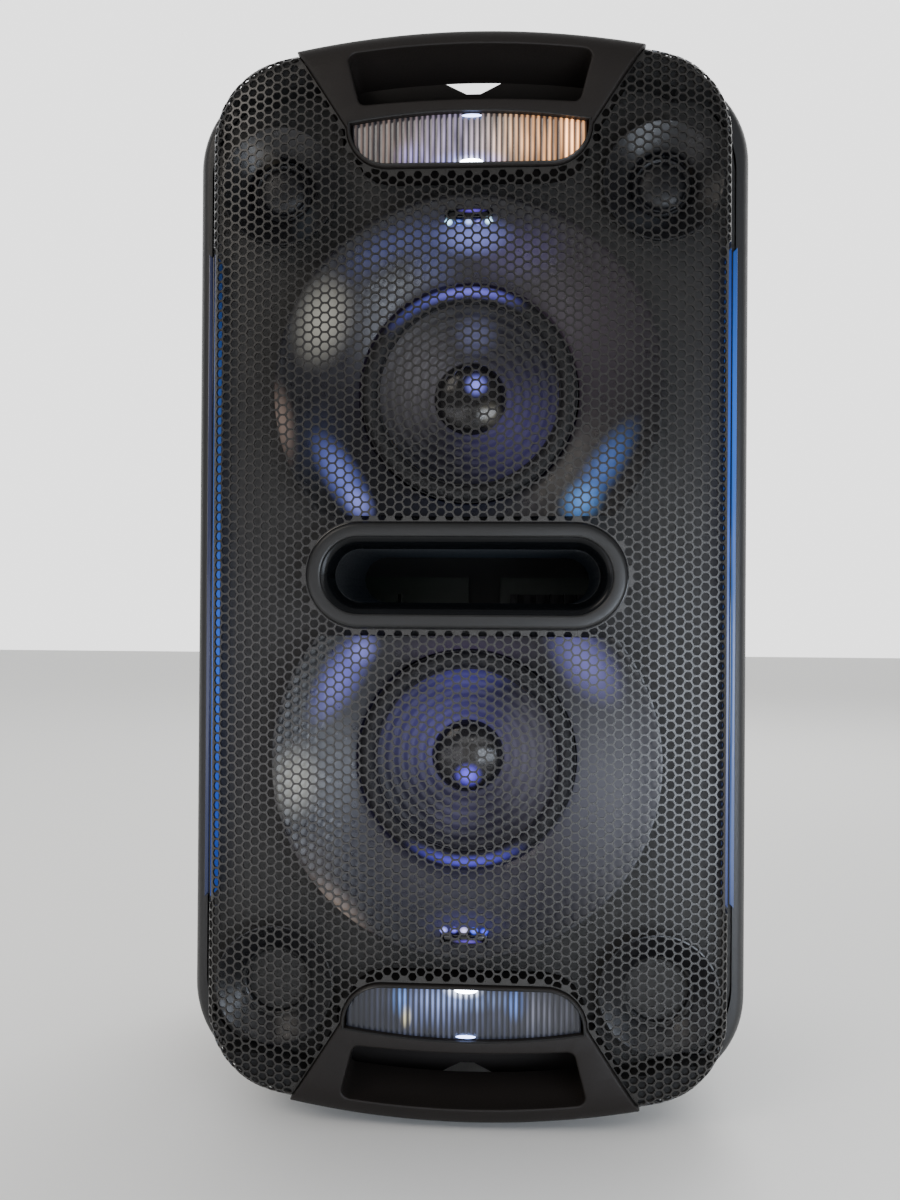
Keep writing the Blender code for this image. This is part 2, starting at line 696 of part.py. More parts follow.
def make_socket_panel():
    side = SOCKETS_HALF_WIDTH - GAP
    low, high = SOCKETS_BOTTOM + GAP, SOCKETS_TOP - GAP
    panel = part("socket_panel", box((-side, SOCKETS_REAR, low), (side, SOCKETS_MOUTH, high)),
                 "black plastic")
    inner = side - SOCKETS_WALL
    combine(panel, cutter("socket_panel_inside", box(
        (-inner, SOCKETS_FLOOR, low + SOCKETS_WALL), (inner, 160.0, high - SOCKETS_WALL))))
    combine(panel, cutter("socket_openings", boxes((
        ((INLET_ACROSS - 12.3, 120.0, LOW_ROW - 9.3), (INLET_ACROSS + 12.3, 135.0, LOW_ROW + 9.3)),
        ((MEDIA_ACROSS - 8.3, 120.0, HIGH_ROW - 5.3), (MEDIA_ACROSS + 8.3, 135.0, HIGH_ROW + 5.3))))))
    combine(panel, cutter("knob_opening", rods([(MIC_ACROSS, HIGH_ROW)], 3.5, 120.0, 135.0, 12)))
    combine(panel, cutter("mic_opening", rods([(MIC_ACROSS, LOW_ROW)], 7.3, 120.0, 135.0, 16)))
    inlet = part("mains_inlet", box(
        (INLET_ACROSS - 12.0, 112.0, LOW_ROW - 9.0),
        (INLET_ACROSS + 12.0, SOCKETS_FLOOR + 0.6, LOW_ROW + 9.0)), "black plastic")
    recess = cutter("mains_inlet_recess", prism(
        [(INLET_ACROSS + x, LOW_ROW + z) for x, z in stadium(8.4, 3.9, steps=4)], 118.0, 140.0))
    pins = [(INLET_ACROSS - 4.3, LOW_ROW), (INLET_ACROSS + 4.3, LOW_ROW)]
    combine(recess, cutter("mains_inlet_pins", rods(pins, 1.2, 110.0, 128.0, 8)))
    combine(inlet, recess)
    media = part("media_socket", box(
        (MEDIA_ACROSS - 8.0, 114.0, HIGH_ROW - 5.0),
        (MEDIA_ACROSS + 8.0, SOCKETS_FLOOR + 0.4, HIGH_ROW + 5.0)), "steel")
    combine(media, cutter("media_socket_recess", box(
        (MEDIA_ACROSS - 6.6, 119.0, HIGH_ROW - 3.0), (MEDIA_ACROSS + 6.6, 140.0, HIGH_ROW + 3.0))))
    turned("mic_socket", [
        (7.0, 112.0), (7.0, 132.0), (3.3, 132.0), (3.3, 115.0), (0.0, 115.0), (0.0, 112.0)],
        "black plastic", (MIC_ACROSS, 0.0, LOW_ROW), 16)
    turned("mic_level_knob", [
        (0.0, 120.0), (3.0, 120.0), (3.0, 131.8), (7.5, 131.8), (7.0, 142.6), (0.0, 142.6)],
        "rubber", (MIC_ACROSS, 0.0, HIGH_ROW), 16)


# ---- electronics ----

def make_electronics():
    board_front, board_back, wall_face = 128.0, 129.6, 141.2
    for name, side in (("power_supply_board", -1), ("amplifier_board", 1)):
        near, far = side * 12.0, side * 92.0
        low, high = sorted((near, far))
        board = part(name, box((low, board_front, -85.0), (high, board_back, 5.0)),
                     "circuit board")
        legs = [(near + side * 6, -79.0), (far - side * 6, -79.0),
                (near + side * 6, -1.0), (far - side * 6, -1.0)]
        combine(board, cutter(name + "_legs", rods(legs, 3.0, board_back - 0.8, wall_face, 8)),
                "UNION")
        if side < 0:
            components = boxes((
                ((low + 8, 100.0, -75.0), (low + 42, board_front + 0.8, -45.0)),
                ((low + 8, 106.0, -35.0), (low + 28, board_front + 0.8, -8.0)),
                ((low + 50, 98.0, -60.0), (low + 72, board_front + 0.8, -38.0))))
            combine(board, cutter(name + "_components", components), "UNION")
    comb = [(20.0, board_front - GAP), (84.0, board_front - GAP)]
    fins = 7
    pitch = 64.0 / (2 * fins - 1)
    for index in range(fins):
        right = 84.0 - 2 * index * pitch
        comb += [(right, 100.0), (right - pitch, 100.0)]
        if index < fins - 1:
            comb += [(right - pitch, 123.0), (right - 2 * pitch, 123.0)]
    sink = prism(comb, -72.0, -8.0)
    for vert in sink.verts:
        x, z, y = vert.co
        vert.co = (x, y, z)
    bmesh.ops.recalc_face_normals(sink, faces=sink.faces)
    part("heat_sink", sink, "aluminium")


# ---- feet ----

def make_feet():
    underside = cutter("cabinet_clearance", loft(cabinet_sections(0.4)))
    for name, side in SIDES:
        low, high = sorted((side * FOOT_INNER, side * FOOT_OUTER))
        foot = part(name + "_foot", box(
            (low, FOOT_FRONT, -MIDDLE_HEIGHT), (high, FOOT_BACK, -250.0)), "rubber")
        combine(foot, underside)


make_cabinet()
make_side_frames()
make_baffle()
make_grille()
make_light_bars()
make_port()
for pod_name, pod_end in ENDS:
    make_pod(pod_name, pod_end)
    make_well(pod_name, pod_end)
for woofer_name, woofer_end in (("upper", 1), ("lower", -1)):
    make_woofer(woofer_name, woofer_end)
    make_woofer_light(woofer_name, woofer_end)
for tweeter_name, tweeter_side in SIDES:
    make_tweeter(tweeter_name, tweeter_side)
make_control_panel()
make_socket_panel()
make_electronics()
make_feet()
bpy.context.view_layer.update()
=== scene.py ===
import math

import bmesh
import bpy
import numpy as np
from mathutils import Matrix, Vector


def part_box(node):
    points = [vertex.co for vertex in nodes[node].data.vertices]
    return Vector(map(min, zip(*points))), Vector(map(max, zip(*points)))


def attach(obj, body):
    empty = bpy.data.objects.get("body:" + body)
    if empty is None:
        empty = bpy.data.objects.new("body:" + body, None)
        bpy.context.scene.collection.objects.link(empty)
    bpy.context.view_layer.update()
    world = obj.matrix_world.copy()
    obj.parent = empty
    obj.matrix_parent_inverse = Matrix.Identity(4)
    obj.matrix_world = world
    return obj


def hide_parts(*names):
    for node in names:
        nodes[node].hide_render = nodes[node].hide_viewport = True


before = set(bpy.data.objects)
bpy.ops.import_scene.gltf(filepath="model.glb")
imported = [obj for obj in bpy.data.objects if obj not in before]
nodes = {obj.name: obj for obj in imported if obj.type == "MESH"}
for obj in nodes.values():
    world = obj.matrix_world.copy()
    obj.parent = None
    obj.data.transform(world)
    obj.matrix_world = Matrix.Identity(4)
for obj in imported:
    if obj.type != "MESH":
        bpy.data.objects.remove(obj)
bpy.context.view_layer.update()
mm = 0.001
portLow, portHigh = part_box("port_ring")
middleHeight = (portLow.z + portHigh.z) / 2     # all sizes below are in mm about the middle of the front
root = "enclosure"


def middleOf(node):
    low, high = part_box(node)
    centre = (low + high) / 2
    return centre.x / mm, centre.y / mm, (centre.z - middleHeight) / mm


def srgb(code):
    # "#rrggbb" to linear
    values = [int(code[i:i + 2], 16) / 255 for i in (1, 3, 5)]
    return [v / 12.92 if v <= 0.04045 else ((v + 0.055) / 1.055) ** 2.4 for v in values] + [1.0]


def addNode(tree, kind, settings=None, links=None):
    node = tree.nodes.new(kind)
    for name, value in (settings or {}).items():
        if isinstance(name, int) or name in node.inputs.keys():
            node.inputs[name].default_value = value
        else:
            setattr(node, name, value)
    for name, source in (links or {}).items():
        tree.links.new(source, node.inputs[name])
    return node


def moulded(name, dark, light, rough, grain, depth, **sockets):
    # a slow drift between two colours, a little unevenness in the gloss, and a fine grain
    # of the given width and depth in mm
    mat = bpy.data.materials.new(name)
    mat.use_nodes = True
    tree = mat.node_tree
    shader = tree.nodes["Principled BSDF"]
    coords = addNode(tree, "ShaderNodeTexCoord").outputs["Object"]
    slow = addNode(tree, "ShaderNodeTexNoise", {"Scale": 22.0, "Detail": 3.0}, {"Vector": coords})
    fine = addNode(tree, "ShaderNodeTexNoise", {"Scale": 1 / (grain * mm), "Detail": 2.0},
                   {"Vector": coords})
    mix = addNode(tree, "ShaderNodeMix", {"data_type": "RGBA"}, {0: slow.outputs["Fac"]})
    mix.inputs[6].default_value = srgb(dark)
    mix.inputs[7].default_value = srgb(light)
    gloss = addNode(tree, "ShaderNodeMapRange", {
        "From Min": 0.3, "From Max": 0.7, "To Min": rough[0], "To Max": rough[1]},
        {"Value": fine.outputs["Fac"]})
    bump = addNode(tree, "ShaderNodeBump", {"Strength": 0.6, "Distance": depth * mm},
                   {"Height": fine.outputs["Fac"]})
    tree.links.new(mix.outputs[2], shader.inputs["Base Color"])
    tree.links.new(gloss.outputs["Result"], shader.inputs["Roughness"])
    tree.links.new(bump.outputs["Normal"], shader.inputs["Normal"])
    for key, value in sockets.items():
        shader.inputs[key].default_value = value
    return mat


def washOver(mat, patches, ribs=0.0, centre=(0, 0)):
    # painted light: soft patches of emission that stand in for the inner lamps' light falling on the surface and
    # for reflections of room lamps; on the lamps' own lenses and guides the patches are their glow.
    # a patch is (x, z, half width, half height, turn in degrees, colour, strength), and may end
    # with a radius and a half width that keep it to a ring about the centre
    tree = mat.node_tree
    shader = tree.nodes["Principled BSDF"]
    coords = addNode(tree, "ShaderNodeTexCoord").outputs["Object"]
    total = None
    around = addNode(tree, "ShaderNodeMapping", {
        "vector_type": "TEXTURE", "Location": (centre[0] * mm, 0, middleHeight + centre[1] * mm),
        "Scale": (mm, 1000, mm)}, {"Vector": coords})
    radius = addNode(tree, "ShaderNodeVectorMath", {"operation": "LENGTH"},
                     {0: around.outputs["Vector"]})
    for x, z, wide, tall, turn, colour, strength, *ring in patches:
        place = addNode(tree, "ShaderNodeMapping", {
            "vector_type": "TEXTURE", "Location": (x * mm, 0, middleHeight + z * mm),
            "Rotation": (0, math.radians(turn), 0), "Scale": (wide * mm, 1000, tall * mm)},
            {"Vector": coords})
        away = addNode(tree, "ShaderNodeVectorMath", {"operation": "LENGTH"},
                       {0: place.outputs["Vector"]})
        fade = addNode(tree, "ShaderNodeMapRange", {
            "interpolation_type": "SMOOTHSTEP", "From Min": 0.0, "From Max": 1.0,
            "To Min": strength, "To Max": 0.0}, {"Value": away.outputs["Value"]})
        amount = fade.outputs["Result"]
        if ring:
            off = addNode(tree, "ShaderNodeMath", {"operation": "SUBTRACT", 1: ring[0]},
                          {0: radius.outputs["Value"]})
            off = addNode(tree, "ShaderNodeMath", {"operation": "ABSOLUTE"}, {0: off.outputs[0]})
            band = addNode(tree, "ShaderNodeMapRange", {
                "interpolation_type": "SMOOTHSTEP", "From Min": 0.0, "From Max": ring[1],
                "To Min": 1.0, "To Max": 0.0}, {"Value": off.outputs[0]})
            amount = addNode(tree, "ShaderNodeMath", {"operation": "MULTIPLY"},
                             {0: amount, 1: band.outputs["Result"]}).outputs[0]
        tint = addNode(tree, "ShaderNodeVectorMath", {"operation": "SCALE", 0: srgb(colour)[:3]},
                       {"Scale": amount})
        if total:
            tint = addNode(tree, "ShaderNodeVectorMath", {"operation": "ADD"},
                           {0: total, 1: tint.outputs["Vector"]})
        total = tint.outputs["Vector"]
    if ribs:
        wave = addNode(tree, "ShaderNodeTexWave", {"Scale": 2 * math.pi / (20 * ribs * mm)},
                       {"Vector": coords})
        dim = addNode(tree, "ShaderNodeMapRange", {"From Min": 0.3, "To Min": 0.07, "To Max": 1.1},
                      {"Value": wave.outputs["Fac"]})
        # some ribs gather more light than others
        across = addNode(tree, "ShaderNodeMapping", {"Scale": (1, 0.02, 0.12)}, {"Vector": coords})
        uneven = addNode(tree, "ShaderNodeTexNoise", {"Scale": 1 / (4.5 * mm), "Detail": 2.0},
                         {"Vector": across.outputs["Vector"]})
        uneven = addNode(tree, "ShaderNodeMapRange", {
            "From Min": 0.35, "From Max": 0.65, "To Min": 0.35, "To Max": 1.6},
            {"Value": uneven.outputs["Fac"]})
        dim = addNode(tree, "ShaderNodeMath", {"operation": "MULTIPLY"},
                      {0: dim.outputs["Result"], 1: uneven.outputs["Result"]})
        total = addNode(tree, "ShaderNodeVectorMath", {"operation": "SCALE"},
                        {0: total, "Scale": dim.outputs[0]}).outputs["Vector"]
    tree.links.new(total, shader.inputs["Emission Color"])
    shader.inputs["Emission Strength"].default_value = 1.0
    return mat


# a spark-eroded tool gives the handles a dull brown-black skin with a fine grain
podPlastic = moulded("textured_abs", "#14110f", "#1a1614", (0.5, 0.66), 0.7, 0.05,
                     **{"Specular IOR Level": 0.25})
# coarser leather-like grain of a moulded cabinet, plain black
cabinetPlastic = moulded("grained_polypropylene", "#131314", "#1a1a1b", (0.42, 0.6), 0.9, 0.08)
# black ABS from a polished tool: deep reflections with barely any waviness
polishedPlastic = moulded("polished_abs", "#08080a", "#0d0d10", (0.10, 0.2), 6.0, 0.01)
# the port's throat: black and smooth, with only thin faint highlights
throatPlastic = moulded("smooth_black_abs", "#060708", "#0a0b0d", (0.16, 0.24), 6.0, 0.01,
                        **{"Specular IOR Level": 0.15})
# the port's ring is a satin grey-black, a touch lighter than the cabinet
satinPlastic = moulded("satin_abs", "#181818", "#1f1f1f", (0.3, 0.38), 2.5, 0.012,
                       **{"Specular IOR Level": 0.3})
# a matt, faintly dusty black inside the duct and the wells
ductPlastic = moulded("matt_abs", "#0b0b0c", "#111112", (0.55, 0.75), 1.5, 0.03)
# the baffle behind the grille is a dull dark grey board
baffleBoard = moulded("painted_board", "#242322", "#2d2c2a", (0.6, 0.75), 1.2, 0.03)
# light spilling through the holes lands on a glossier black inside the bowls
bowlPlastic = moulded("soft_gloss_abs", "#0a0a0d", "#101015", (0.26, 0.34), 6.0, 0.01)
# punched steel under baked powder paint: slight orange peel, sharp small glints on every edge
powderSteel = moulded("powder_coated_steel", "#1c1b1a", "#242220", (0.26, 0.38), 1.1, 0.02)
# dark nitrile rubber, dull with a little bloom
rubberSkin = moulded("nitrile_rubber", "#0d0d0d", "#171616", (0.6, 0.8), 0.8, 0.03)
# open-cell foam, sooty black and very dull
foamRubber = moulded("open_cell_foam", "#0a0a0a", "#100f0f", (0.85, 0.95), 0.9, 0.15)
# pressed paper with a black coat, fibres just showing
conePaper = moulded("coated_paper", "#0d0d12", "#17171f", (0.45, 0.6), 0.5, 0.05)
# doped silk of a tweeter dome, a close weave at 0.35 mm
domeSilk = moulded("coated_silk", "#0c0c0f", "#15151a", (0.35, 0.5), 0.35, 0.04)
# zinc-plated pressed steel, cool and slightly streaked
platedSteel = moulded("zinc_plated_steel", "#8c8f94", "#a4a7ab", (0.28, 0.42), 1.8, 0.01, Metallic=1.0)
# blackened screw heads
blackSteel = moulded("blackened_steel", "#1c1c1e", "#2a2a2c", (0.3, 0.45), 0.8, 0.01, Metallic=1.0)
# fired ferrite ring, charcoal and grainy
ferriteStone = moulded("sintered_ferrite", "#26272a", "#323337", (0.5, 0.7), 0.8, 0.05)
# enamelled copper wire
copperWire = moulded("enamelled_copper", "#8a4a28", "#a65c33", (0.25, 0.4), 0.4, 0.02, Metallic=1.0)
# extruded aluminium, black anodised, with a dull sheen
blackAluminium = moulded("black_anodised_aluminium", "#141416", "#1c1c1f", (0.38, 0.5), 0.6, 0.01,
                         Metallic=0.6)
# resin-dipped cotton, straw-brown
spiderCloth = moulded("resin_treated_cotton", "#6b5426", "#8a6d33", (0.7, 0.9), 0.6, 0.08)
# green solder mask over laminate
solderMask = moulded("solder_mask", "#0b2214", "#0f2c1a", (0.35, 0.5), 1.2, 0.02)
# clear polycarbonate, seen as a pale tinted plate
clearLens = moulded("clear_polycarbonate", "#1c1d22", "#26282e", (0.1, 0.18), 3.0, 0.01)
# printed marks, a matt pale grey ink
paleInk = moulded("pale_ink", "#9a9a98", "#a8a8a6", (0.55, 0.65), 0.5, 0.005)
print("finishes made")


def finishPiece(name, bm, material, body=root, replaced=(), angle=32):
    # from mm about the middle of the front to metres in the frame
    bmesh.ops.scale(bm, vec=(mm, mm, mm), verts=bm.verts)
    bmesh.ops.translate(bm, vec=(0, 0, middleHeight), verts=bm.verts)
    mesh = bpy.data.meshes.new(name)
    bm.to_mesh(mesh)
    bm.free()
    obj = bpy.data.objects.new(name, mesh)
    bpy.context.scene.collection.objects.link(obj)
    mesh.materials.append(material)
    mesh.shade_smooth()
    mesh.set_sharp_from_angle(angle=math.radians(angle))
    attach(obj, body)
    if replaced:
        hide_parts(*replaced)
    return obj


def joined(bm, other):
    # adds other's shapes to bm
    mesh = bpy.data.meshes.new("joining")
    other.to_mesh(mesh)
    other.free()
    bm.from_mesh(mesh)
    bpy.data.meshes.remove(mesh)
    return bm


def carved(bm, tools):
    # cuts each tool out of bm
    scene = bpy.context.scene
    mesh = bpy.data.meshes.new("carving")
    bm.to_mesh(mesh)
    bm.free()
    obj = bpy.data.objects.new("carving", mesh)
    scene.collection.objects.link(obj)
    made = [obj]
    for tool in tools:
        toolMesh = bpy.data.meshes.new("tool")
        tool.to_mesh(toolMesh)
        tool.free()
        toolObj = bpy.data.objects.new("tool", toolMesh)
        scene.collection.objects.link(toolObj)
        made.append(toolObj)
        cut = obj.modifiers.new("cut", "BOOLEAN")
        cut.object = toolObj
        cut.solver = "EXACT"
    graph = bpy.context.evaluated_depsgraph_get()
    result = bmesh.new()
    result.from_object(obj, graph)
    for item in made:
        data = item.data
        bpy.data.objects.remove(item)
        bpy.data.meshes.remove(data)
    return result


def thickened(bm, thickness):
    # gives a sheet its thickness, away from the side its faces look to
    mesh = bpy.data.meshes.new("sheet")
    bm.to_mesh(mesh)
    bm.free()
    obj = bpy.data.objects.new("sheet", mesh)
    bpy.context.scene.collection.objects.link(obj)
    solid = obj.modifiers.new("solid", "SOLIDIFY")
    solid.thickness = thickness
    solid.offset = -1.0
    solid.use_even_offset = False
    result = bmesh.new()
    result.from_object(obj, bpy.context.evaluated_depsgraph_get())
    bpy.data.objects.remove(obj)
    bpy.data.meshes.remove(mesh)
    return result


def block(low, high, soft=0.0, segments=2):
    bm = bmesh.new()
    bmesh.ops.create_cube(bm, size=1.0)
    size = [abs(b - a) for a, b in zip(low, high)]
    centre = [(a + b) / 2 for a, b in zip(low, high)]
    bmesh.ops.scale(bm, vec=size, verts=bm.verts)
    bmesh.ops.translate(bm, vec=centre, verts=bm.verts)
    if soft:
        bmesh.ops.bevel(bm, geom=bm.edges[:], offset=soft, segments=segments, profile=0.5,
                        affect="EDGES", material=-1)
    return bm


def turned(profile, centre, steps=96, axis="y"):
    # profile is (radius, depth towards the back) for axis y, or (radius, height) for axis z
    bm = bmesh.new()
    if axis == "y":
        points = [(radius, along, 0) for radius, along in profile]
        line = (0, 1, 0)
    else:
        points = [(radius, 0, along) for radius, along in profile]
        line = (0, 0, 1)
    verts = [bm.verts.new(point) for point in points]
    for first, second in zip(verts, verts[1:]):
        bm.edges.new((first, second))
    if profile[0][0] > 0:
        bm.edges.new((verts[-1], verts[0]))
    bmesh.ops.spin(bm, geom=bm.verts[:] + bm.edges[:], cent=(0, 0, 0), axis=line,
                   angle=2 * math.pi, steps=steps, use_merge=True)
    bmesh.ops.remove_doubles(bm, verts=bm.verts, dist=0.001)
    bmesh.ops.dissolve_degenerate(bm, edges=bm.edges, dist=0.0005)
    bmesh.ops.recalc_face_normals(bm, faces=bm.faces)
    bmesh.ops.translate(bm, vec=centre, verts=bm.verts)
    return bm


def loft(bm, sections, ring=False, closeFirst=False, closeLast=False):
    # each section is a closed loop of (x, y, z) points
    first = [bm.verts.new(point) for point in sections[0]]
    edges = [bm.edges.new((first[i - 1], first[i])) for i in range(len(first))]
    firstEdges, loop = edges, first
    for points in sections[1:]:
        made = bmesh.ops.extrude_edge_only(bm, edges=edges)["geom"]
        fresh = {item for item in made if isinstance(item, bmesh.types.BMVert)}
        edges = [item for item in made if isinstance(item, bmesh.types.BMEdge)
                 and item.verts[0] in fresh and item.verts[1] in fresh]
        loop = [next(edge.other_vert(vert) for edge in vert.link_edges
                     if edge.other_vert(vert) in fresh) for vert in loop]
        for vert, point in zip(loop, points):
            vert.co = point
    if ring:
        bmesh.ops.bridge_loops(bm, edges=firstEdges + edges)
    if closeFirst:
        bmesh.ops.edgeloop_fill(bm, edges=firstEdges)
    if closeLast:
        bmesh.ops.edgeloop_fill(bm, edges=edges)
    return firstEdges, edges


form = {"halfWidth": 155.0, "halfHeight": 297.0, "corner": 54.0, "crown": 500.0}


def sag(x):
    # how far the shallow arc of the top edge has dropped at x
    return form["crown"] - math.sqrt(form["crown"] ** 2 - x * x)


def arcPoints(centreX, centreZ, radius, start, stop, steps):
    points = []
    for step in range(steps + 1):
        angle = start + (stop - start) * step / steps
        points.append((centreX + radius * math.cos(angle), centreZ + radius * math.sin(angle)))
    return points


def speakerOutline(halfWidth, halfHeight, corner, cornerSteps=18, crownSteps=14):
    # a rounded rectangle whose top and bottom are shallow arcs
    cornerX = halfWidth - corner
    reach = form["crown"] - corner
    join = math.acos(cornerX / reach)
    crownZ = halfHeight - form["crown"]
    quarter = arcPoints(cornerX, crownZ + reach * math.sin(join), corner, 0, join, cornerSteps)
    quarter += arcPoints(0, crownZ, form["crown"], join, math.pi / 2, crownSteps)[1:]
    right = [(x, -z) for x, z in reversed(quarter)] + quarter
    return right + [(-x, z) for x, z in reversed(right) if abs(x) > 1e-6]


def stadium(halfWidth, halfHeight, inset=0.0, steps=28):
    straight = halfWidth - halfHeight
    right = arcPoints(straight, 0, halfHeight - inset, -math.pi / 2, math.pi / 2, steps)
    return right + [(-x, -z) for x, z in right]


def dense(points, step):
    # splits the long sides of a closed path
    result = []
    for (x1, z1), (x2, z2) in zip(points, points[1:] + points[:1]):
        count = max(1, math.ceil(math.hypot(x2 - x1, z2 - z1) / step))
        result += [(x1 + (x2 - x1) * i / count, z1 + (z2 - z1) * i / count) for i in range(count)]
    return result


def offsetPath(points, distance):
    # moves a closed path outwards, for one that runs anticlockwise
    path = np.array(points)
    along = np.roll(path, -1, axis=0) - path
    along /= np.linalg.norm(along, axis=1)[:, None]
    before = np.roll(along, 1, axis=0)
    mean = along + before
    mean /= np.linalg.norm(mean, axis=1)[:, None]
    stretch = 1 / np.maximum(0.6, (mean * along).sum(axis=1))
    out = np.stack([mean[:, 1], -mean[:, 0]], axis=1)
    return [tuple(p) for p in path + out * (distance * stretch)[:, None]]


def atDepth(points, depth):
    return [(x, depth, z) for x, z in points]


# the pods' outline, shared by the grille's cut-outs
pod = {"halfWidth": 95.4, "cornerX": 44.3, "cornerZ": 242.2, "radius": 22.0,
       "front": -144.5, "drop": 13.5, "fold": 28.8, "back": -112.0, "soft": 1.3,
       "recess": 20.0, "recessDepth": 22.5}


def podPath(grow=0.0, beyond=0.0):
    side = arcPoints(pod["cornerX"], pod["cornerZ"], pod["radius"], -math.pi / 2, 0, 10)
    top = form["halfHeight"] - sag(pod["halfWidth"])
    side.append((pod["halfWidth"], top))
    if beyond:
        side.append((pod["halfWidth"], top + beyond))
    else:
        side += [(x, form["halfHeight"] - sag(x)) for x in (84, 72, 60, 48, 36, 24, 12, 0)]
    path = dense(side + [(-x, z) for x, z in reversed(side) if x > 0], 6.0)
    return offsetPath(path, grow) if grow else path


def portPath(inset=0.0, steps=28):
    return stadium(86.6, 28.7, inset, steps)


def pathDistance(points, path):
    # signed distance to a closed path, positive outside, with the nearest point on it
    px, pz = points[:, 0], points[:, 1]
    best = np.full(len(points), 1e9)
    near = np.zeros_like(points)
    inside = np.zeros(len(points), bool)
    for (x1, z1), (x2, z2) in zip(path, path[1:] + path[:1]):
        dx, dz = x2 - x1, z2 - z1
        length = dx * dx + dz * dz
        if length < 1e-12:
            continue
        t = np.clip(((px - x1) * dx + (pz - z1) * dz) / length, 0, 1)
        qx, qz = x1 + t * dx, z1 + t * dz
        gap = np.hypot(px - qx, pz - qz)
        closer = gap < best
        best[closer] = gap[closer]
        near[closer, 0] = qx[closer]
        near[closer, 1] = qz[closer]
        if z1 != z2:
            inside ^= ((z1 > pz) != (z2 > pz)) & (px < dx * (pz - z1) / dz + x1)
    return np.where(inside, -best, best), near


# the grille: a steel sheet with six-sided holes, bent back along its edges
grille = {"halfWidth": 143.0, "halfHeight": 297.0, "corner": 48.0, "sheet": 1.0, "front": -142.0,
          "rowStep": 5.28, "holeCorner": 2.4, "holeFlat": 2.2, "rim": 0.5, "partHole": 0.6,
          "gentleRadius": 220.0, "gentleTurn": math.radians(10.5),
          "tightRadius": 9.5, "tightTurn": math.radians(85), "skirt": 10.8,
          "notchX": 139.9, "notchZ": 181.0, "portGap": 0.5, "podGap": 0.5}


def foldOf(t):
    # t runs along the sheet from where it starts to bend: how far out and how far back it gets
    g = grille
    gentle = g["gentleRadius"] * g["gentleTurn"]
    tight = g["tightRadius"] * (g["tightTurn"] - g["gentleTurn"])
    a = np.clip(t, 0, gentle) / g["gentleRadius"]
    b = g["gentleTurn"] + np.clip(t - gentle, 0, tight) / g["tightRadius"]
    c = np.clip(t - gentle - tight, 0, None)
    out = (g["gentleRadius"] * np.sin(a) + g["tightRadius"] * (np.sin(b) - math.sin(g["gentleTurn"]))
           + c * math.cos(g["tightTurn"]))
    back = (g["gentleRadius"] * (1 - np.cos(a))
            + g["tightRadius"] * (math.cos(g["gentleTurn"]) - np.cos(b))
            + c * math.sin(g["tightTurn"]))
    return out, back


def edgeOf(points):
    # signed distance inside the grille's outline, and the direction out to it
    g = grille
    x, z = np.abs(points[:, 0]), np.abs(points[:, 1])
    cornerX = g["halfWidth"] - g["corner"]
    crownZ = g["halfHeight"] - form["crown"]
    join = math.acos(cornerX / (form["crown"] - g["corner"]))
    cornerZ = crownZ + (form["crown"] - g["corner"]) * math.sin(join)
    dx, dz = x - cornerX, z - cornerZ
    reach = np.maximum(np.hypot(dx, dz), 1e-6)
    crownReach = np.hypot(x, z - crownZ)
    depth = np.stack([g["halfWidth"] - x, form["crown"] - crownReach, g["corner"] - reach])
    outX = np.stack([np.ones_like(x), x / crownReach, dx / reach])
    outZ = np.stack([np.zeros_like(x), (z - crownZ) / crownReach, dz / reach])
    pick = np.where(depth[0] < depth[1], 0, 1)
    angle = np.arctan2(dz, dx)
    pick = np.where((angle > 0) & (angle < join), 2, pick)
    rows = np.arange(len(x))
    return (depth[pick, rows], outX[pick, rows] * np.sign(points[:, 0] + 1e-9),
            outZ[pick, rows] * np.sign(points[:, 1] + 1e-9))


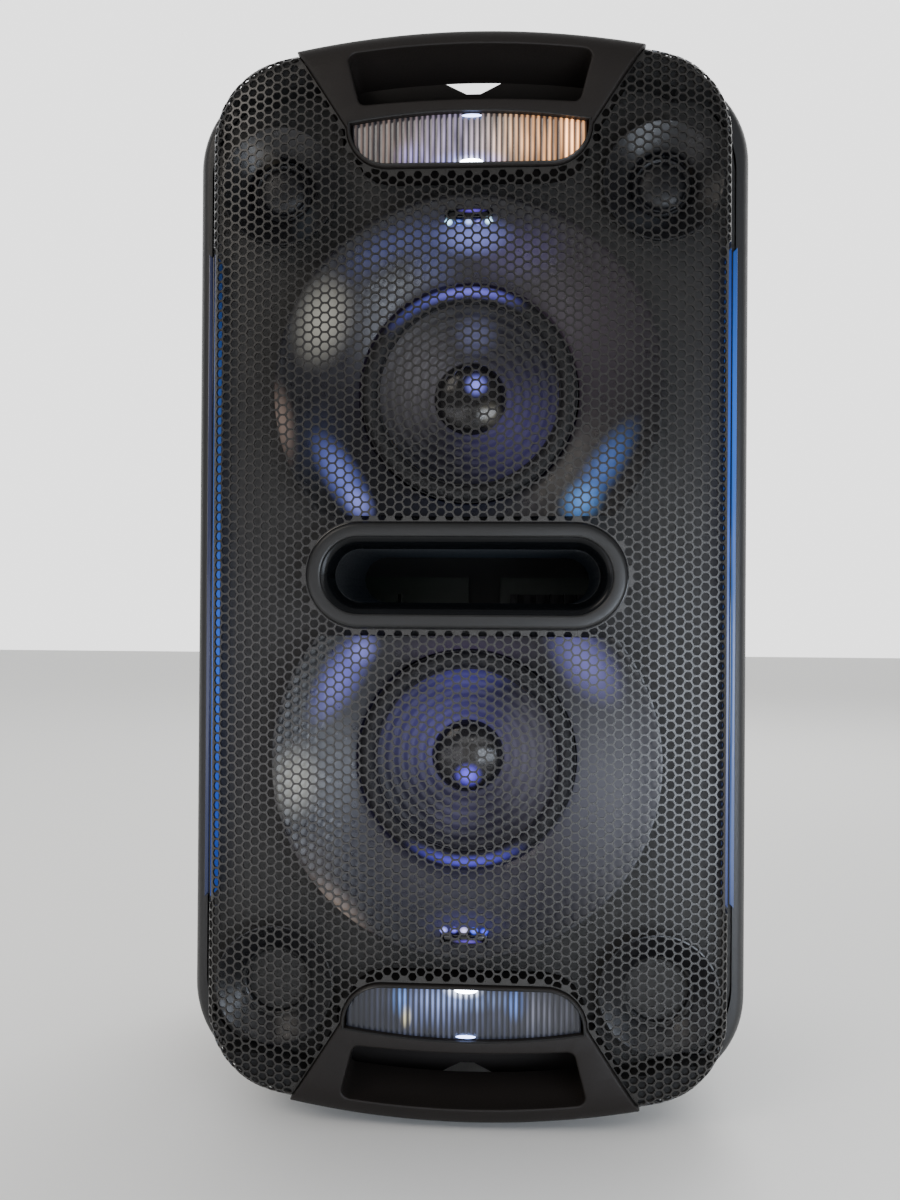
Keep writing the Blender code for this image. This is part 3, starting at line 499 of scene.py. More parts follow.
def makeGrille():
    g = grille
    gentle = g["gentleRadius"] * g["gentleTurn"]
    length = gentle + g["tightRadius"] * (g["tightTurn"] - g["gentleTurn"]) + g["skirt"]
    reach = float(foldOf(np.array([length]))[0][0])
    extra = length - reach            # the flat sheet is this much larger all round
    # where the flat sheet is notched for the light bars
    steps = np.linspace(0, length, 2000)
    notchT = steps[np.argmin(np.abs(foldOf(steps)[0] - (reach - (g["halfWidth"] - g["notchX"]))))]
    notchX = g["halfWidth"] + extra - (length - notchT)
    outer = speakerOutline(g["halfWidth"] + extra, g["halfHeight"] + extra, g["corner"] + extra)
    holes = [portPath(-g["portGap"])]
    for end in (1, -1):
        path = [(x, z * end) for x, z in podPath(g["podGap"], 40.0)]
        holes.append(path)
        holes.append([(x, z * g["notchZ"]) for x, z in (
            (end * notchX, -1), (end * 220, -1), (end * 220, 1), (end * notchX, 1))])
    paths = [outer] + holes

    def clearances(points):
        found = [pathDistance(points, path) for path in paths]
        distance = np.stack([-found[0][0]] + [item[0] for item in found[1:]])
        return distance, np.stack([item[1] for item in found])

    columnStep = g["rowStep"] * math.sqrt(3) / 2
    columns = range(-34, 35)
    rows = range(-58, 59)
    centres = [(c, r, c * columnStep, (r + 0.5 * (c % 2)) * g["rowStep"])
               for c in columns for r in rows]
    places = np.array([(item[2], item[3]) for item in centres])
    keep = clearances(places)[0].min(axis=0) > g["partHole"]
    kept = {(item[0], item[1]) for item, good in zip(centres, keep) if good}

    bm = bmesh.new()
    holeMark = bm.verts.layers.int.new("hole")
    bandMark = bm.faces.layers.int.new("band")
    bmesh.ops.create_circle(bm, cap_ends=True, segments=6, radius=g["rowStep"] / math.sqrt(3),
                            matrix=Matrix.Rotation(math.pi / 2, 4, "X") @ Matrix.Rotation(math.pi / 2, 4, "Z"))
    bmesh.ops.subdivide_edges(bm, edges=bm.edges[:], cuts=1)
    old = set(bm.verts)
    bmesh.ops.inset_individual(bm, faces=bm.faces[:], thickness=0.4)
    middle = max(bm.faces, key=lambda face: len(face.verts))
    bmesh.ops.delete(bm, geom=[middle], context="FACES_ONLY")
    for vert in bm.verts:
        if vert not in old:
            vert[holeMark] = 1
            sixth = round(math.degrees(math.atan2(vert.co.z, vert.co.x)) / 30)
            vert.co *= (g["holeFlat"] if sixth % 2 else g["holeCorner"]) / vert.co.length
    cell = bm.verts[:] + bm.edges[:] + bm.faces[:]
    column = []
    for row in rows:
        copy = bmesh.ops.duplicate(bm, geom=cell)["geom"]
        bmesh.ops.translate(bm, vec=(0, 0, row * g["rowStep"]),
                            verts=[item for item in copy if isinstance(item, bmesh.types.BMVert)])
        column += copy
    doomed = [item for item in cell + column if isinstance(item, bmesh.types.BMFace)]
    for index in columns:
        copy = bmesh.ops.duplicate(bm, geom=column)["geom"]
        shift = 0.5 * (index % 2) * g["rowStep"]
        bmesh.ops.translate(bm, vec=(index * columnStep, 0, shift),
                            verts=[item for item in copy if isinstance(item, bmesh.types.BMVert)])
        for face in copy:
            if isinstance(face, bmesh.types.BMFace):
                row = round((face.calc_center_median().z - shift) / g["rowStep"])
                if (index, row) in kept:
                    face[bandMark] = 0 if row > 19 else (2 if row < -19 else 1)
                else:
                    doomed.append(face)
    bmesh.ops.delete(bm, geom=doomed, context="FACES")
    bmesh.ops.remove_doubles(bm, verts=bm.verts, dist=0.05)
    print("grille cells", len(kept), "vertices", len(bm.verts))

    # the sheet's cut edges follow the outline, the pods and the port
    bm.verts.ensure_lookup_table()
    flat = np.array([(vert.co.x, vert.co.z) for vert in bm.verts])
    isHole = np.array([vert[holeMark] == 1 for vert in bm.verts])
    isBorder = np.array([vert.is_boundary for vert in bm.verts]) & ~isHole
    distance, near = clearances(flat)
    closest = np.abs(distance).argmin(axis=0)
    rowsAll = np.arange(len(flat))
    flat[isBorder] = near[closest, rowsAll][isBorder]
    for index in range(len(paths)):
        gap = distance[index]
        low = isHole & (gap < g["rim"])
        inward = (flat - near[index]) / np.where(np.abs(gap) < 1e-6, 1.0, gap)[:, None]
        flat[low] = (near[index] + inward * g["rim"])[low]
    # the bend
    inside, outX, outZ = edgeOf(flat)
    out, back = foldOf(length - (inside + extra))
    bent = out > 0
    move = np.where(bent, inside - (reach - out), 0)
    x = flat[:, 0] + outX * move
    z = flat[:, 1] + outZ * move
    y = g["front"] + back
    for vert, px, py, pz in zip(bm.verts, x, y, z):
        vert.co = (px, py, pz)
    bmesh.ops.dissolve_degenerate(bm, edges=bm.edges, dist=0.001)
    for band, name in enumerate(("grille_upper_third", "grille_middle_third", "grille_lower_third")):
        piece = bm.copy()
        mark = piece.faces.layers.int["band"]
        bmesh.ops.delete(piece, geom=[f for f in piece.faces if f[mark] != band], context="FACES")
        normal = sum((f.normal for f in piece.faces), Vector())
        if normal.y > 0:
            bmesh.ops.reverse_faces(piece, faces=piece.faces)
        finishPiece(name, thickened(piece, g["sheet"]), powderSteel, replaced=("front_grille",))
    bm.free()


makeGrille()


def makeCornerFoam():
    # a foam strip fills the grille's fold round each corner, and stops rattles
    profile = [(2.7, -119.3), (2.7, -130.2), (4.4, -133.8), (7.2, -136.3), (10.0, -137.0),
               (20.0, -137.6), (20.0, -119.3)]
    loops = [atDepth(speakerOutline(grille["halfWidth"] - inset, grille["halfHeight"] - inset,
                                    grille["corner"] - inset), depth) for inset, depth in profile]
    bm = bmesh.new()
    loft(bm, loops, ring=True)
    bmesh.ops.recalc_face_normals(bm, faces=bm.faces)
    tools = [block((-200, -200, -262), (200, 0, 262))]
    for end in (1, -1):
        clear = bmesh.new()
        path = [(x, z * end) for x, z in podPath(0.4, 30.0)]
        loft(clear, [atDepth(path, -160), atDepth(path, -100)], closeFirst=True, closeLast=True)
        bmesh.ops.recalc_face_normals(clear, faces=clear.faces)
        tools.append(clear)
    finishPiece("corner_foam", carved(bm, tools), foamRubber)


makeCornerFoam()
print("grille made")


def podFront(x, w):
    # depth of the pods' front at x, w in coordinates where the crowned edge is straight
    u = min(1.0, max(0.0, (form["halfHeight"] - w) / pod["fold"]))
    return pod["front"] + pod["drop"] * (1 - (1 - (1 - u) ** 3) ** 0.37)


def roundedPath(corners, steps=6):
    # corners are (x, z, radius), anticlockwise
    points = []
    count = len(corners)
    for i in range(count):
        x, z, radius = corners[i]
        here = Vector((x, z))
        before = (Vector(corners[i - 1][:2]) - here).normalized()
        after = (Vector(corners[(i + 1) % count][:2]) - here).normalized()
        half = before.angle(after) / 2
        centre = here + (before + after).normalized() * radius / math.sin(half)
        start = here + before * radius / math.tan(half) - centre
        stop = here + after * radius / math.tan(half) - centre
        a, b = math.atan2(start.y, start.x), math.atan2(stop.y, stop.x)
        turn = (b - a + math.pi) % (2 * math.pi) - math.pi
        points += arcPoints(centre.x, centre.y, radius, a, a + turn, steps)
    return points


def lensPath(radius):
    side = arcPoints(pod["cornerX"], pod["cornerZ"], radius, -math.pi / 2, 0, 10)
    edge = side[-1][0]
    side += [(x, pod["cornerZ"] + 2 + 5.5 * (1 - (x / edge) ** 2)) for x in (edge, 52, 40, 28, 14, 0)]
    return dense(side + [(-x, z) for x, z in reversed(side) if x > 0], 6.0)


def makePod(label, end):
    # built flat with its crowned edge straight, rounded, then bent to the front's curve
    pocket = dense(roundedPath([(-59.3, 253.8, 4.5), (59.3, 253.8, 4.5), (66.6, 282.1, 4.0),
                                (-66.6, 282.1, 4.0)]), 6.0)
    shift, behind = [], []
    for x, z in pocket:
        up = (z - 253.8) / 28.3
        low = 253.8 + 2.5 * (1 - (x / 59.3) ** 2) + sag(x)
        shift.append((x, low + (286.6 - low) * up - sag(x)))
        behind.append((x, low + (278.2 - low) * up - sag(x)))
    bm = bmesh.new()
    thick = pod["back"] - pod["front"]
    soft = pod["soft"]
    ringSteps = [math.radians(a) for a in (0, 22, 45, 68, 90)]
    outer, inner = podPath(), [shift, lensPath(pod["recess"])]
    sections = [atDepth(outer, thick)]
    sections += [atDepth(offsetPath(outer, -soft * (1 - math.cos(a))), soft * (1 - math.sin(a)))
                 for a in ringSteps]
    backLoop, frontLoop = loft(bm, sections)
    frontEdges, backEdges = list(frontLoop), list(backLoop)
    for path, depth in zip(inner, (thick, pod["recessDepth"])):
        sections = [atDepth(offsetPath(path, soft * (1 - math.cos(a))), soft * (1 - math.sin(a)))
                    for a in reversed(ringSteps)]
        if depth == thick:      # the pocket's roof comes down towards the back
            sections += [atDepth(path, 4.0), atDepth(behind, depth)]
        else:
            sections.append(atDepth(path, depth))
        first, last = loft(bm, sections)
        frontEdges += first
        if depth == thick:
            backEdges += last
        else:
            bmesh.ops.triangle_fill(bm, edges=last, use_beauty=True, normal=(0, -1, 0))
    bmesh.ops.triangle_fill(bm, edges=frontEdges, use_beauty=True, normal=(0, -1, 0))
    bmesh.ops.triangle_fill(bm, edges=backEdges, use_beauty=True, normal=(0, 1, 0))
    for vert in bm.verts:
        vert.co.z += sag(vert.co.x)
    cuts = [((x, 0, 0), (1, 0, 0)) for x in range(-90, 91, 10)]
    cuts += [((0, 0, form["halfHeight"] - inset), (0, 0, 1))
             for inset in (0.4, 0.9, 1.6, 2.6, 4, 6, 9, 13, 18, 23, 30, 40, 55)]
    for place, normal in cuts:
        bmesh.ops.bisect_plane(bm, geom=bm.verts[:] + bm.edges[:] + bm.faces[:], dist=0.001,
                               plane_co=place, plane_no=normal)
    for vert in bm.verts:
        x, depth, w = vert.co
        front = podFront(x, w)
        vert.co = (x, front + depth * (pod["back"] - front) / thick, (w - sag(x)) * end)
    bmesh.ops.remove_doubles(bm, verts=bm.verts, dist=0.005)
    bmesh.ops.recalc_face_normals(bm, faces=bm.faces)
    finishPiece(label + "_handle_pod", bm, podPlastic, replaced=(label + "_handle",))


def makeLens(label, end, patches):
    # a clear plate with upright ribs on its face
    lens = {"halfWidth": 63.2, "rib": 3.0, "ribHeight": 0.5, "front": -141.2, "thick": 1.4}
    bm = bmesh.new()
    bmesh.ops.create_grid(bm, x_segments=168, y_segments=5, size=1.0)
    for vert in bm.verts:
        u, v = vert.co.x, (vert.co.y + 1) / 2
        x = u * lens["halfWidth"]
        beyond = max(0.0, abs(x) - pod["cornerX"])
        lower = pod["cornerZ"] - math.sqrt(max(0.0, 19.6 ** 2 - beyond ** 2))
        upper = pod["cornerZ"] + 1.7 + 5.5 * (1 - (x / 64) ** 2)
        ripple = abs(math.sin(math.pi * x / lens["rib"])) * lens["ribHeight"]
        vert.co = (x, lens["front"] - ripple + lens["ribHeight"], (lower + (upper - lower) * v) * end)
    bmesh.ops.recalc_face_normals(bm, faces=bm.faces)
    if sum(face.normal.y for face in bm.faces) > 0:
        bmesh.ops.reverse_faces(bm, faces=bm.faces)
    bmesh.ops.solidify(bm, geom=bm.faces[:], thickness=lens["thick"])
    mat = clearLens.copy()
    mat.name = label + "_lit_polycarbonate"      # clear ribbed plate, filled with light from the strobe lamps behind it, with painted warm reflections of room lamps towards one side
    washOver(mat, patches, ribs=lens["rib"])
    finishPiece(label + "_ribbed_lens", bm, mat, replaced=(label + "_strobe_lens",))
    # a bright moulded lip follows the lens where the light catches it
    lip = bmesh.new()
    path = lensPath(pod["recess"] + 0.1)
    rings = [atDepth(offsetPath(path, r), d) for r, d in (
        (0.9, 0.5), (0.9, 0.0), (0.4, -0.35), (0.0, 0.0), (0.0, 0.5))]
    loft(lip, rings, ring=True)
    for vert in lip.verts:
        x, depth, z = vert.co
        vert.co = (x, podFront(x, z + sag(x)) + depth, z * end)
    bmesh.ops.recalc_face_normals(lip, faces=lip.faces)
    if lip.calc_volume(signed=True) < 0:
        bmesh.ops.reverse_faces(lip, faces=lip.faces)
    finishPiece(label + "_lens_lip", lip, satinPlastic)


# painted light on the strobe lenses: the strobe lamps' glow, with painted warm reflections of room lamps and a
# painted grey reflection on the bottom lens
strobeGlowAndPaintedReflections = {
    "top": [(-34, 234, 52, 40, 0, "#b79c8e", 0.45), (-8, 232, 34, 30, 0, "#c4b8ee", 0.85),
            (14, 234, 24, 30, 0, "#f2d4b4", 0.9), (40, 234, 34, 30, 0, "#f8b070", 2.0),
            (55, 236, 9, 26, 0, "#ffb070", 3.6), (0, 224, 26, 7, 0, "#7f8cff", 1.6),
            (0, 223, 11, 5, 0, "#e6efff", 4.0), (-30, 226, 14, 12, 0, "#8a86f0", 0.7)],
    "bottom": [(0, -232, 74, 40, 0, "#7a84ae", 0.34), (-16, -230, 30, 18, 0, "#8fa6f4", 0.55),
               (-34, -229, 6, 12, 0, "#5f9dff", 1.5), (-31, -238, 4, 8, 0, "#fff2a8", 0.9),
               (0, -223, 13, 6, 0, "#e8f0ff", 5.0), (0, -228, 30, 9, 0, "#8fb2ff", 0.7),
               (28, -230, 8, 12, 0, "#4a8cff", 0.8), (40, -234, 26, 18, 0, "#a8a8b4", 0.25)],
}


def makeStrobeLamps(label, end):
    # the two lamps whose glare shows at the middle of each lens
    for name, z, size, colour, power in (("inner", 223.0, (6.2, 1.7), "#e6efff", 26.0),
                                         ("outer", 247.9, (5.4, 0.9), "#9fb6ff", 7.0)):
        bm = bmesh.new()
        bmesh.ops.create_uvsphere(bm, u_segments=20, v_segments=12, radius=1.0)
        bmesh.ops.scale(bm, vec=(size[0], 0.8, size[1]), verts=bm.verts)
        bmesh.ops.translate(bm, vec=(1.5, -142.2, z * end), verts=bm.verts)
        mat = moulded("phosphor_lens_" + name, "#e8ecf4", "#f4f6fa", (0.2, 0.3), 1.0, 0.005)
        mat.node_tree.nodes["Principled BSDF"].inputs["Emission Color"].default_value = srgb(colour)
        mat.node_tree.nodes["Principled BSDF"].inputs["Emission Strength"].default_value = power
        finishPiece(label + "_" + name + "_lamp", bm, mat)


for podName, podEnd in (("top", 1), ("bottom", -1)):
    makePod(podName, podEnd)
    makeLens(podName, podEnd, strobeGlowAndPaintedReflections[podName])
    makeStrobeLamps(podName, podEnd)
print("pods made")


# the port: a satin band round a polished, flared throat
port = {"front": -145.0, "back": -116.6, "band": 7.7, "throat": 14.0, "throatDepth": -131.0}


def makePort():
    front, back, band = port["front"], port["back"], port["band"]
    loops = [(0.0, back), (0.0, -142.4)]
    loops += [(2.6 * (1 - math.cos(a)), -142.4 - 2.6 * math.sin(a))
              for a in [math.radians(v) for v in (18, 36, 54, 72, 90)]]
    loops += [(band - 1.2, front), (band - 0.5, front + 0.15), (band - 0.1, front + 0.5),
              (band, front + 1.1), (band, back)]
    bm = bmesh.new()
    loft(bm, [atDepth(portPath(inset), depth) for inset, depth in loops], ring=True)
    bmesh.ops.recalc_face_normals(bm, faces=bm.faces)
    finishPiece("port_band", bm, satinPlastic, replaced=("port_ring",))
    # the flare starts just inside the band and tightens towards the duct
    start = band + 0.1
    loops = [(start, back), (start, front + 1.0)]
    for step in range(1, 11):
        a = math.radians(9 * step)
        loops.append((start + (port["throat"] - start) * math.sin(a),
                      front + 1.0 + (port["throatDepth"] - front - 1.0) * (1 - math.cos(a))))
    loops += [(11.2, port["throatDepth"]), (11.2, back)]
    throat = bmesh.new()
    loft(throat, [atDepth(portPath(inset), depth) for inset, depth in loops], ring=True)
    bmesh.ops.recalc_face_normals(throat, faces=throat.faces)
    finishPiece("port_throat", throat, throatPlastic)
    # a plain bead stands round the ring, where the grille meets it
    bead = bmesh.new()
    ringPath = [(-0.45, -141.2), (-0.45, -142.6), (-0.25, -143.0), (0.0, -143.1), (0.02, -141.2)]
    loft(bead, [atDepth(portPath(inset), depth) for inset, depth in ringPath], ring=True)
    bmesh.ops.recalc_face_normals(bead, faces=bead.faces)
    finishPiece("port_bead", bead, polishedPlastic)


makePort()


# each woofer: a polished bowl, a rubber surround, a ribbed paper cone and a polished cap
woofer = {"bowl": 106.0, "mouth": 61.2, "flat": 33.0, "steps": 112, "ribs": 7}
# painted light on the bowls: soft glow from the inner lamps, whitish and tan painted reflections of room lamps and
# blue painted streaks of reflected light
upperBowlPaintedLight = [
    (0, 128, 135, 100, 0, "#6a5c80", 0.07), (66, 140, 56, 80, 0, "#7c6c74", 0.12),
    (2, 186, 26, 13, 0, "#8c96f4", 0.75), (-36, 178, 54, 32, 0, "#6c78d0", 0.22, 91, 13),
    (-20, 174, 20, 20, 0, "#5a66c0", 0.20), (26, 178, 34, 20, 0, "#7668b4", 0.20),
    (-80, 140, 19, 32, 17, "#b0aea2", 0.75), (-101.5, 84, 8.0, 29, -11, "#b0988a", 0.40),
    (-69, 54, 12, 34, -31, "#7f8cf0", 0.70), (-60, 40, 9, 14, -35, "#a0a4ff", 0.50),
    (73, 58, 12, 38, 33, "#5484e0", 0.50), (62, 41, 13, 16, 40, "#62a4f4", 0.62),
    (0, 40, 62, 13, 0, "#40486c", 0.08), (-82, 72, 20, 30, 0, "#44548c", 0.10)]
lowerBowlPaintedLight = [
    (0, -125, 140, 100, 0, "#6a6490", 0.10), (80, -115, 62, 90, 0, "#8a8e9c", 0.30),
    (-69, -56, 14, 35, 30, "#7c7cee", 0.66), (-57, -41, 10, 13, 40, "#9a9cff", 0.45),
    (64, -46, 18, 34, -38, "#8280d4", 0.66), (-93, -113, 17, 27, 0, "#aeaea4", 0.66),
    (-68, -182, 11, 31, -42, "#a89688", 0.46), (-84, -160, 22, 30, -20, "#7a7068", 0.16),
    (0, -190, 30, 11, 0, "#6460d8", 0.14), (0, -40, 58, 12, 0, "#7a6c94", 0.18),
    (0, -176, 70, 36, 0, "#4a5070", 0.10)]


def makeWoofer(label, end, bowlPaintedLight, rollPaintedLight, conePaintedLight, capPaintedLight):
    x, _, z = middleOf(label + "_woofer_cone")
    centre = (x, 0, z)
    body = label + "_woofer_diaphragm"
    profile = [(106.0, -137.8), (104.8, -137.9), (103.4, -137.5), (98, -136.0), (91, -134.0),
               (84, -132.0), (77, -129.6), (70, -126.9), (65.5, -125.1), (62.6, -123.7),
               (61.5, -122.9), (61.2, -121.8), (61.2, -116.6), (63.4, -116.6), (63.4, -122.0),
               (84, -129.6), (106.0, -135.6)]
    bm = turned(profile, centre, woofer["steps"])
    cut = bmesh.ops.bisect_plane(bm, geom=bm.verts[:] + bm.edges[:] + bm.faces[:],
                                 plane_co=(0, 0, end * woofer["flat"]), plane_no=(0, 0, -end),
                                 clear_outer=True)
    rim = [item for item in cut["geom_cut"] if isinstance(item, bmesh.types.BMEdge)]
    bmesh.ops.triangle_fill(bm, edges=rim, use_beauty=True)
    bmesh.ops.recalc_face_normals(bm, faces=bm.faces)
    mat = bowlPlastic.copy()
    mat.name = label + "_lit_polished_abs"       # polished black with painted light: the inner lamps' colour, painted whitish and tan reflections of room lamps and painted blue streaks of reflected light
    washOver(mat, bowlPaintedLight, centre=(x, z))
    finishPiece(label + "_woofer_dish", bm, mat, replaced=(label + "_woofer_bowl",))

    # half-roll surround with a flat lip each side
    roll = [(50.3, -121.5)]
    roll += [(55.3 - 4.4 * math.cos(a), -121.6 - 3.6 * math.sin(a))
             for a in [math.radians(v) for v in range(0, 181, 15)]]
    roll += [(60.3, -121.5), (60.3, -120.3)]
    roll += [(55.3 + 3.6 * math.cos(a), -120.4 - 3.2 * math.sin(a))
             for a in [math.radians(v) for v in range(0, 181, 20)]]
    roll += [(50.3, -120.3)]
    rubber = rubberSkin.copy()
    rubber.name = label + "_lit_rubber"          # dull rubber with a painted rim of coloured light from the inner lamps
    washOver(rubber, rollPaintedLight, centre=(x, z))
    finishPiece(label + "_woofer_roll", turned(roll, centre, woofer["steps"]), rubber, body,
                (label + "_woofer_surround",))

    # the cone falls inwards in shallow steps
    front = []
    count = 46
    for step in range(count + 1):
        t = step / count
        r = 50.0 - 35.5 * t
        depth = -121.5 + 18.9 * t ** 0.92
        wave = 0.42 * math.sin(math.pi * woofer["ribs"] * 2 * t) if 0.06 < t < 0.94 else 0.0
        front.append((r, depth + wave))
    backFace = [(14.5, -101.2), (31.0, -108.9), (50.0, -120.3)]
    paper = conePaper.copy()
    paper.name = label + "_lit_paper"            # ribbed paper with painted light across it: a violet glow from the inner lamps and grey painted reflections
    washOver(paper, conePaintedLight, centre=(x, z))
    finishPiece(label + "_woofer_ribbed_cone", turned(front + backFace, centre, woofer["steps"]),
                paper, body, (label + "_woofer_cone",))

    dome = [(0, -113.6)]
    dome += [(20 * math.sin(a), -113.6 + 7.4 * (1 - math.cos(a))) for a in
             [math.radians(v) for v in range(9, 91, 9)]]
    dome += [(20.4, -105.9), (19.2, -105.4), (9.6, -111.0), (0, -112.4)]
    cap = polishedPlastic.copy()
    cap.name = label + "_lit_cap"                # polished cap holding one painted soft highlight, with a faint painted warm reflection and glow
    washOver(cap, capPaintedLight, centre=(x, z))
    finishPiece(label + "_woofer_cap", turned(dome, centre, 72), cap, body,
                (label + "_woofer_dust_cap",))


makeWoofer("upper", 1, upperBowlPaintedLight,
           [(0, 156, 36, 22, 0, "#7a76f0", 1.0, 56.5, 4.4), (-30, 148, 26, 22, 0, "#5a60c8", 0.45, 56.5, 4.4),
            (0, 103, 70, 70, 0, "#5a5668", 0.08)],
           [(-30, 112, 34, 50, 12, "#7c7878", 0.24), (24, 84, 44, 44, 0, "#5c54a0", 0.26),
            (3, 136, 16, 14, 0, "#8084b8", 0.30), (0, 104, 62, 62, 0, "#5c5668", 0.12)],
           [(3.5, 108, 8, 8, 0, "#8a8cff", 1.3), (11, 92, 9, 9, 0, "#9a9688", 0.32),
            (0, 100, 30, 30, 0, "#5a5450", 0.06)])
makeWoofer("lower", -1, lowerBowlPaintedLight,
           [(0, -158, 42, 24, 0, "#6058f0", 0.85, 56.5, 4.4), (0, -103, 70, 70, 0, "#5c5688", 0.14)],
           [(-14, -84, 50, 44, 0, "#6058b8", 0.30), (0, -56, 34, 12, 0, "#645cd0", 0.24),
            (-6, -134, 20, 14, 0, "#7a76a8", 0.15), (0, -103, 62, 62, 0, "#5c5684", 0.20),
            (34, -100, 26, 50, 0, "#7a7888", 0.32)],
           [(0.4, -111.5, 9, 8, 0, "#6c5cff", 1.5), (2, -98, 15, 10, 0, "#7e7c74", 0.15),
            (0, -103, 30, 30, 0, "#5a5664", 0.08)])
print("woofers made")


def makeWooferLights(label, end, colours):
    # a dark housing whose inner edge holds a row of small lamps
    x, _, z = middleOf(label + "_woofer_light")
    bm = block((-13, -139.3, z - end * 3.2), (13, -134, z + end * 1.8), 0.8, 3)
    for index in range(5):
        pip = bmesh.new()
        bmesh.ops.create_uvsphere(pip, u_segments=16, v_segments=10, radius=1.0)
        bmesh.ops.scale(pip, vec=(2.3, 1.6, 1.9), verts=pip.verts)
        bmesh.ops.translate(pip, vec=(-11 + 5.5 * index, -137.6, z - end * 5.0), verts=pip.verts)
        joined(bm, pip)
    mat = polishedPlastic.copy()
    mat.name = label + "_lit_lamp_row"           # black housing, the lamps lit unevenly under it, and a painted violet highlight along its upper edge
    lights = [(-11 + 5.5 * i, z - end * (5.2 + dz), 3.4, 2.6, 0, colour, power)
              for i, (colour, dz, power) in enumerate(colours)]
    # the last patch is a painted violet highlight on the housing, not a lamp
    washOver(mat, lights + [(2, z + end * 0.6, 9, 1.5, 0, "#7a5cf0", 0.9)])
    finishPiece(label + "_lamp_row", bm, mat, replaced=(label + "_woofer_light",))


makeWooferLights("upper", 1, (("#a8dcff", 0, 4.5), ("#6f88ff", 0.6, 1.6), ("#9fb8ff", 0, 2.6),
                              ("#8f8cff", 0.6, 1.6), ("#b8e4ff", -0.4, 4.5)))
makeWooferLights("lower", -1, (("#9a9cff", 0, 2.2), ("#7a72ff", 0.3, 1.5), ("#c8c0ff", 0, 2.8),
                               ("#5a6cff", 0, 2.4), ("#4a50ff", -0.4, 2.2)))


# light bars: two thin light guides with a dark rib between them
def makeLightBar(label, side, inner, outer):
    low, high = 140.5, 145.9
    for name, near, far, colours in (("inner", low, low + 2.2, inner), ("outer", high - 2.2, high, outer)):
        bm = block((side * near, -126.6, -179.6), (side * far, -117.4, 179.6))
        bmesh.ops.bisect_plane(bm, geom=bm.verts[:] + bm.edges[:] + bm.faces[:], plane_co=(0, 0, 0),
                               plane_no=(0, 0, 1))
        for vert in bm.verts:
            if abs(vert.co.z) > 100 and abs(vert.co.x) < (near + far) / 2:
                vert.co.z -= math.copysign(2.4, vert.co.z)    # the ends are cut on a slant
        bmesh.ops.bevel(bm, geom=[e for e in bm.edges if abs(e.verts[0].co.y - e.verts[1].co.y) < 1e-4],
                        offset=0.5, segments=3, profile=0.5, affect="EDGES", material=-1)
        bmesh.ops.recalc_face_normals(bm, faces=bm.faces)
        mat = moulded(label + "_" + name + "_acrylic", "#141c38", "#1a2446", (0.15, 0.25), 4.0, 0.01)
        # clear acrylic, edge-lit along its length
        x = side * (near + far) / 2
        washOver(mat, [(x, z, 60, tall, 0, colour, power) for z, tall, colour, power in colours])
        finishPiece(label + "_" + name + "_light_guide", bm, mat,
                    replaced=(label + "_light_bar",) if name == "inner" else ())
    rib = block((side * (low + 2.3), -126.2, -178), (side * (high - 2.3), -117.4, 178), 0.2)
    finishPiece(label + "_light_bar_rib", rib, polishedPlastic)


makeLightBar("left", -1,
             [(40, 200, "#3f6fc8", 0.55), (-100, 190, "#2f62d8", 0.6), (-60, 110, "#2a5ad0", 0.3)],
             [(60, 220, "#5b5a78", 0.22), (-120, 160, "#2f3f78", 0.2)])
makeLightBar("right", 1,
             [(90, 160, "#1f5fd8", 0.75), (-20, 190, "#3a62b8", 0.5), (-140, 90, "#5566aa", 0.4)],
             [(100, 150, "#1f6fe0", 0.85), (-40, 190, "#3f6fc0", 0.6), (-150, 80, "#7788bb", 0.4)])


# tweeters, and the blank dishes that match them near the bottom corners
dishProfile = [(33.0, -130.0), (32.2, -130.15), (31.2, -129.7), (27.5, -127.6), (24.0, -125.6),
               (21.0, -123.7), (19.0, -122.2), (18.2, -121.2), (17.8, -119.6), (17.8, -116.6),
               (20.4, -116.6), (20.4, -121.0), (33.0, -128.2)]


def makeTweeter(label, side, patches):
    x, _, z = middleOf(label + "_tweeter_dome")
    mat = bowlPlastic.copy()
    mat.name = label + "_lit_soft_gloss_abs"     # soft-gloss black, with a painted dull warm reflection at one edge and a fainter painted blue-grey one
    washOver(mat, patches)
    finishPiece(label + "_tweeter_dish", turned(dishProfile, (x, 0, z), 72), mat,
                replaced=(label + "_tweeter_guide",))
    dome = [(0, -123.4)]
    dome += [(13.2 * math.sin(a), -123.4 + 5.2 * (1 - math.cos(a))) for a in
             [math.radians(v) for v in range(10, 91, 10)]]
    dome += [(13.9, -117.7), (15.2, -118.5), (16.4, -117.7), (16.8, -117.4), (16.8, -116.6),
             (13.4, -116.6), (7.1, -121.2), (0, -122.5)]
    finishPiece(label + "_tweeter_silk", turned(dome, (x, 0, z), 64), domeSilk,
                label + "_tweeter_diaphragm", (label + "_tweeter_dome",))


makeTweeter("left", -1, [(-118, 236, 16, 8, 30, "#7a7468", 0.18), (-92, 196, 10, 20, 0, "#54606c", 0.10)])
makeTweeter("right", 1, [(112, 222, 12, 10, 0, "#7d7468", 0.25), (96, 196, 18, 9, 0, "#5a6068", 0.12)])
for blankName, blankSide in (("left", -1), ("right", 1)):
    bmBlank = turned([(r, y - 0.15) for r, y in dishProfile[:9]] + [(17.8, -113.2), (17.2, -113.2)] + [
        (17.4, -121.0), (32.0, -129.6)], (blankSide * 105.7, 0, -227), 72)
    finishPiece(blankName + "_blank_dish", bmBlank, bowlPlastic)


# side frames: smooth bands outside the light bars, round to the pods
sideFrame = {"front": -118.0, "widest": -104.0, "back": -88.3, "innerHalfWidth": 146.4,
             "innerHalfHeight": 283.0, "innerCorner": 47.0}


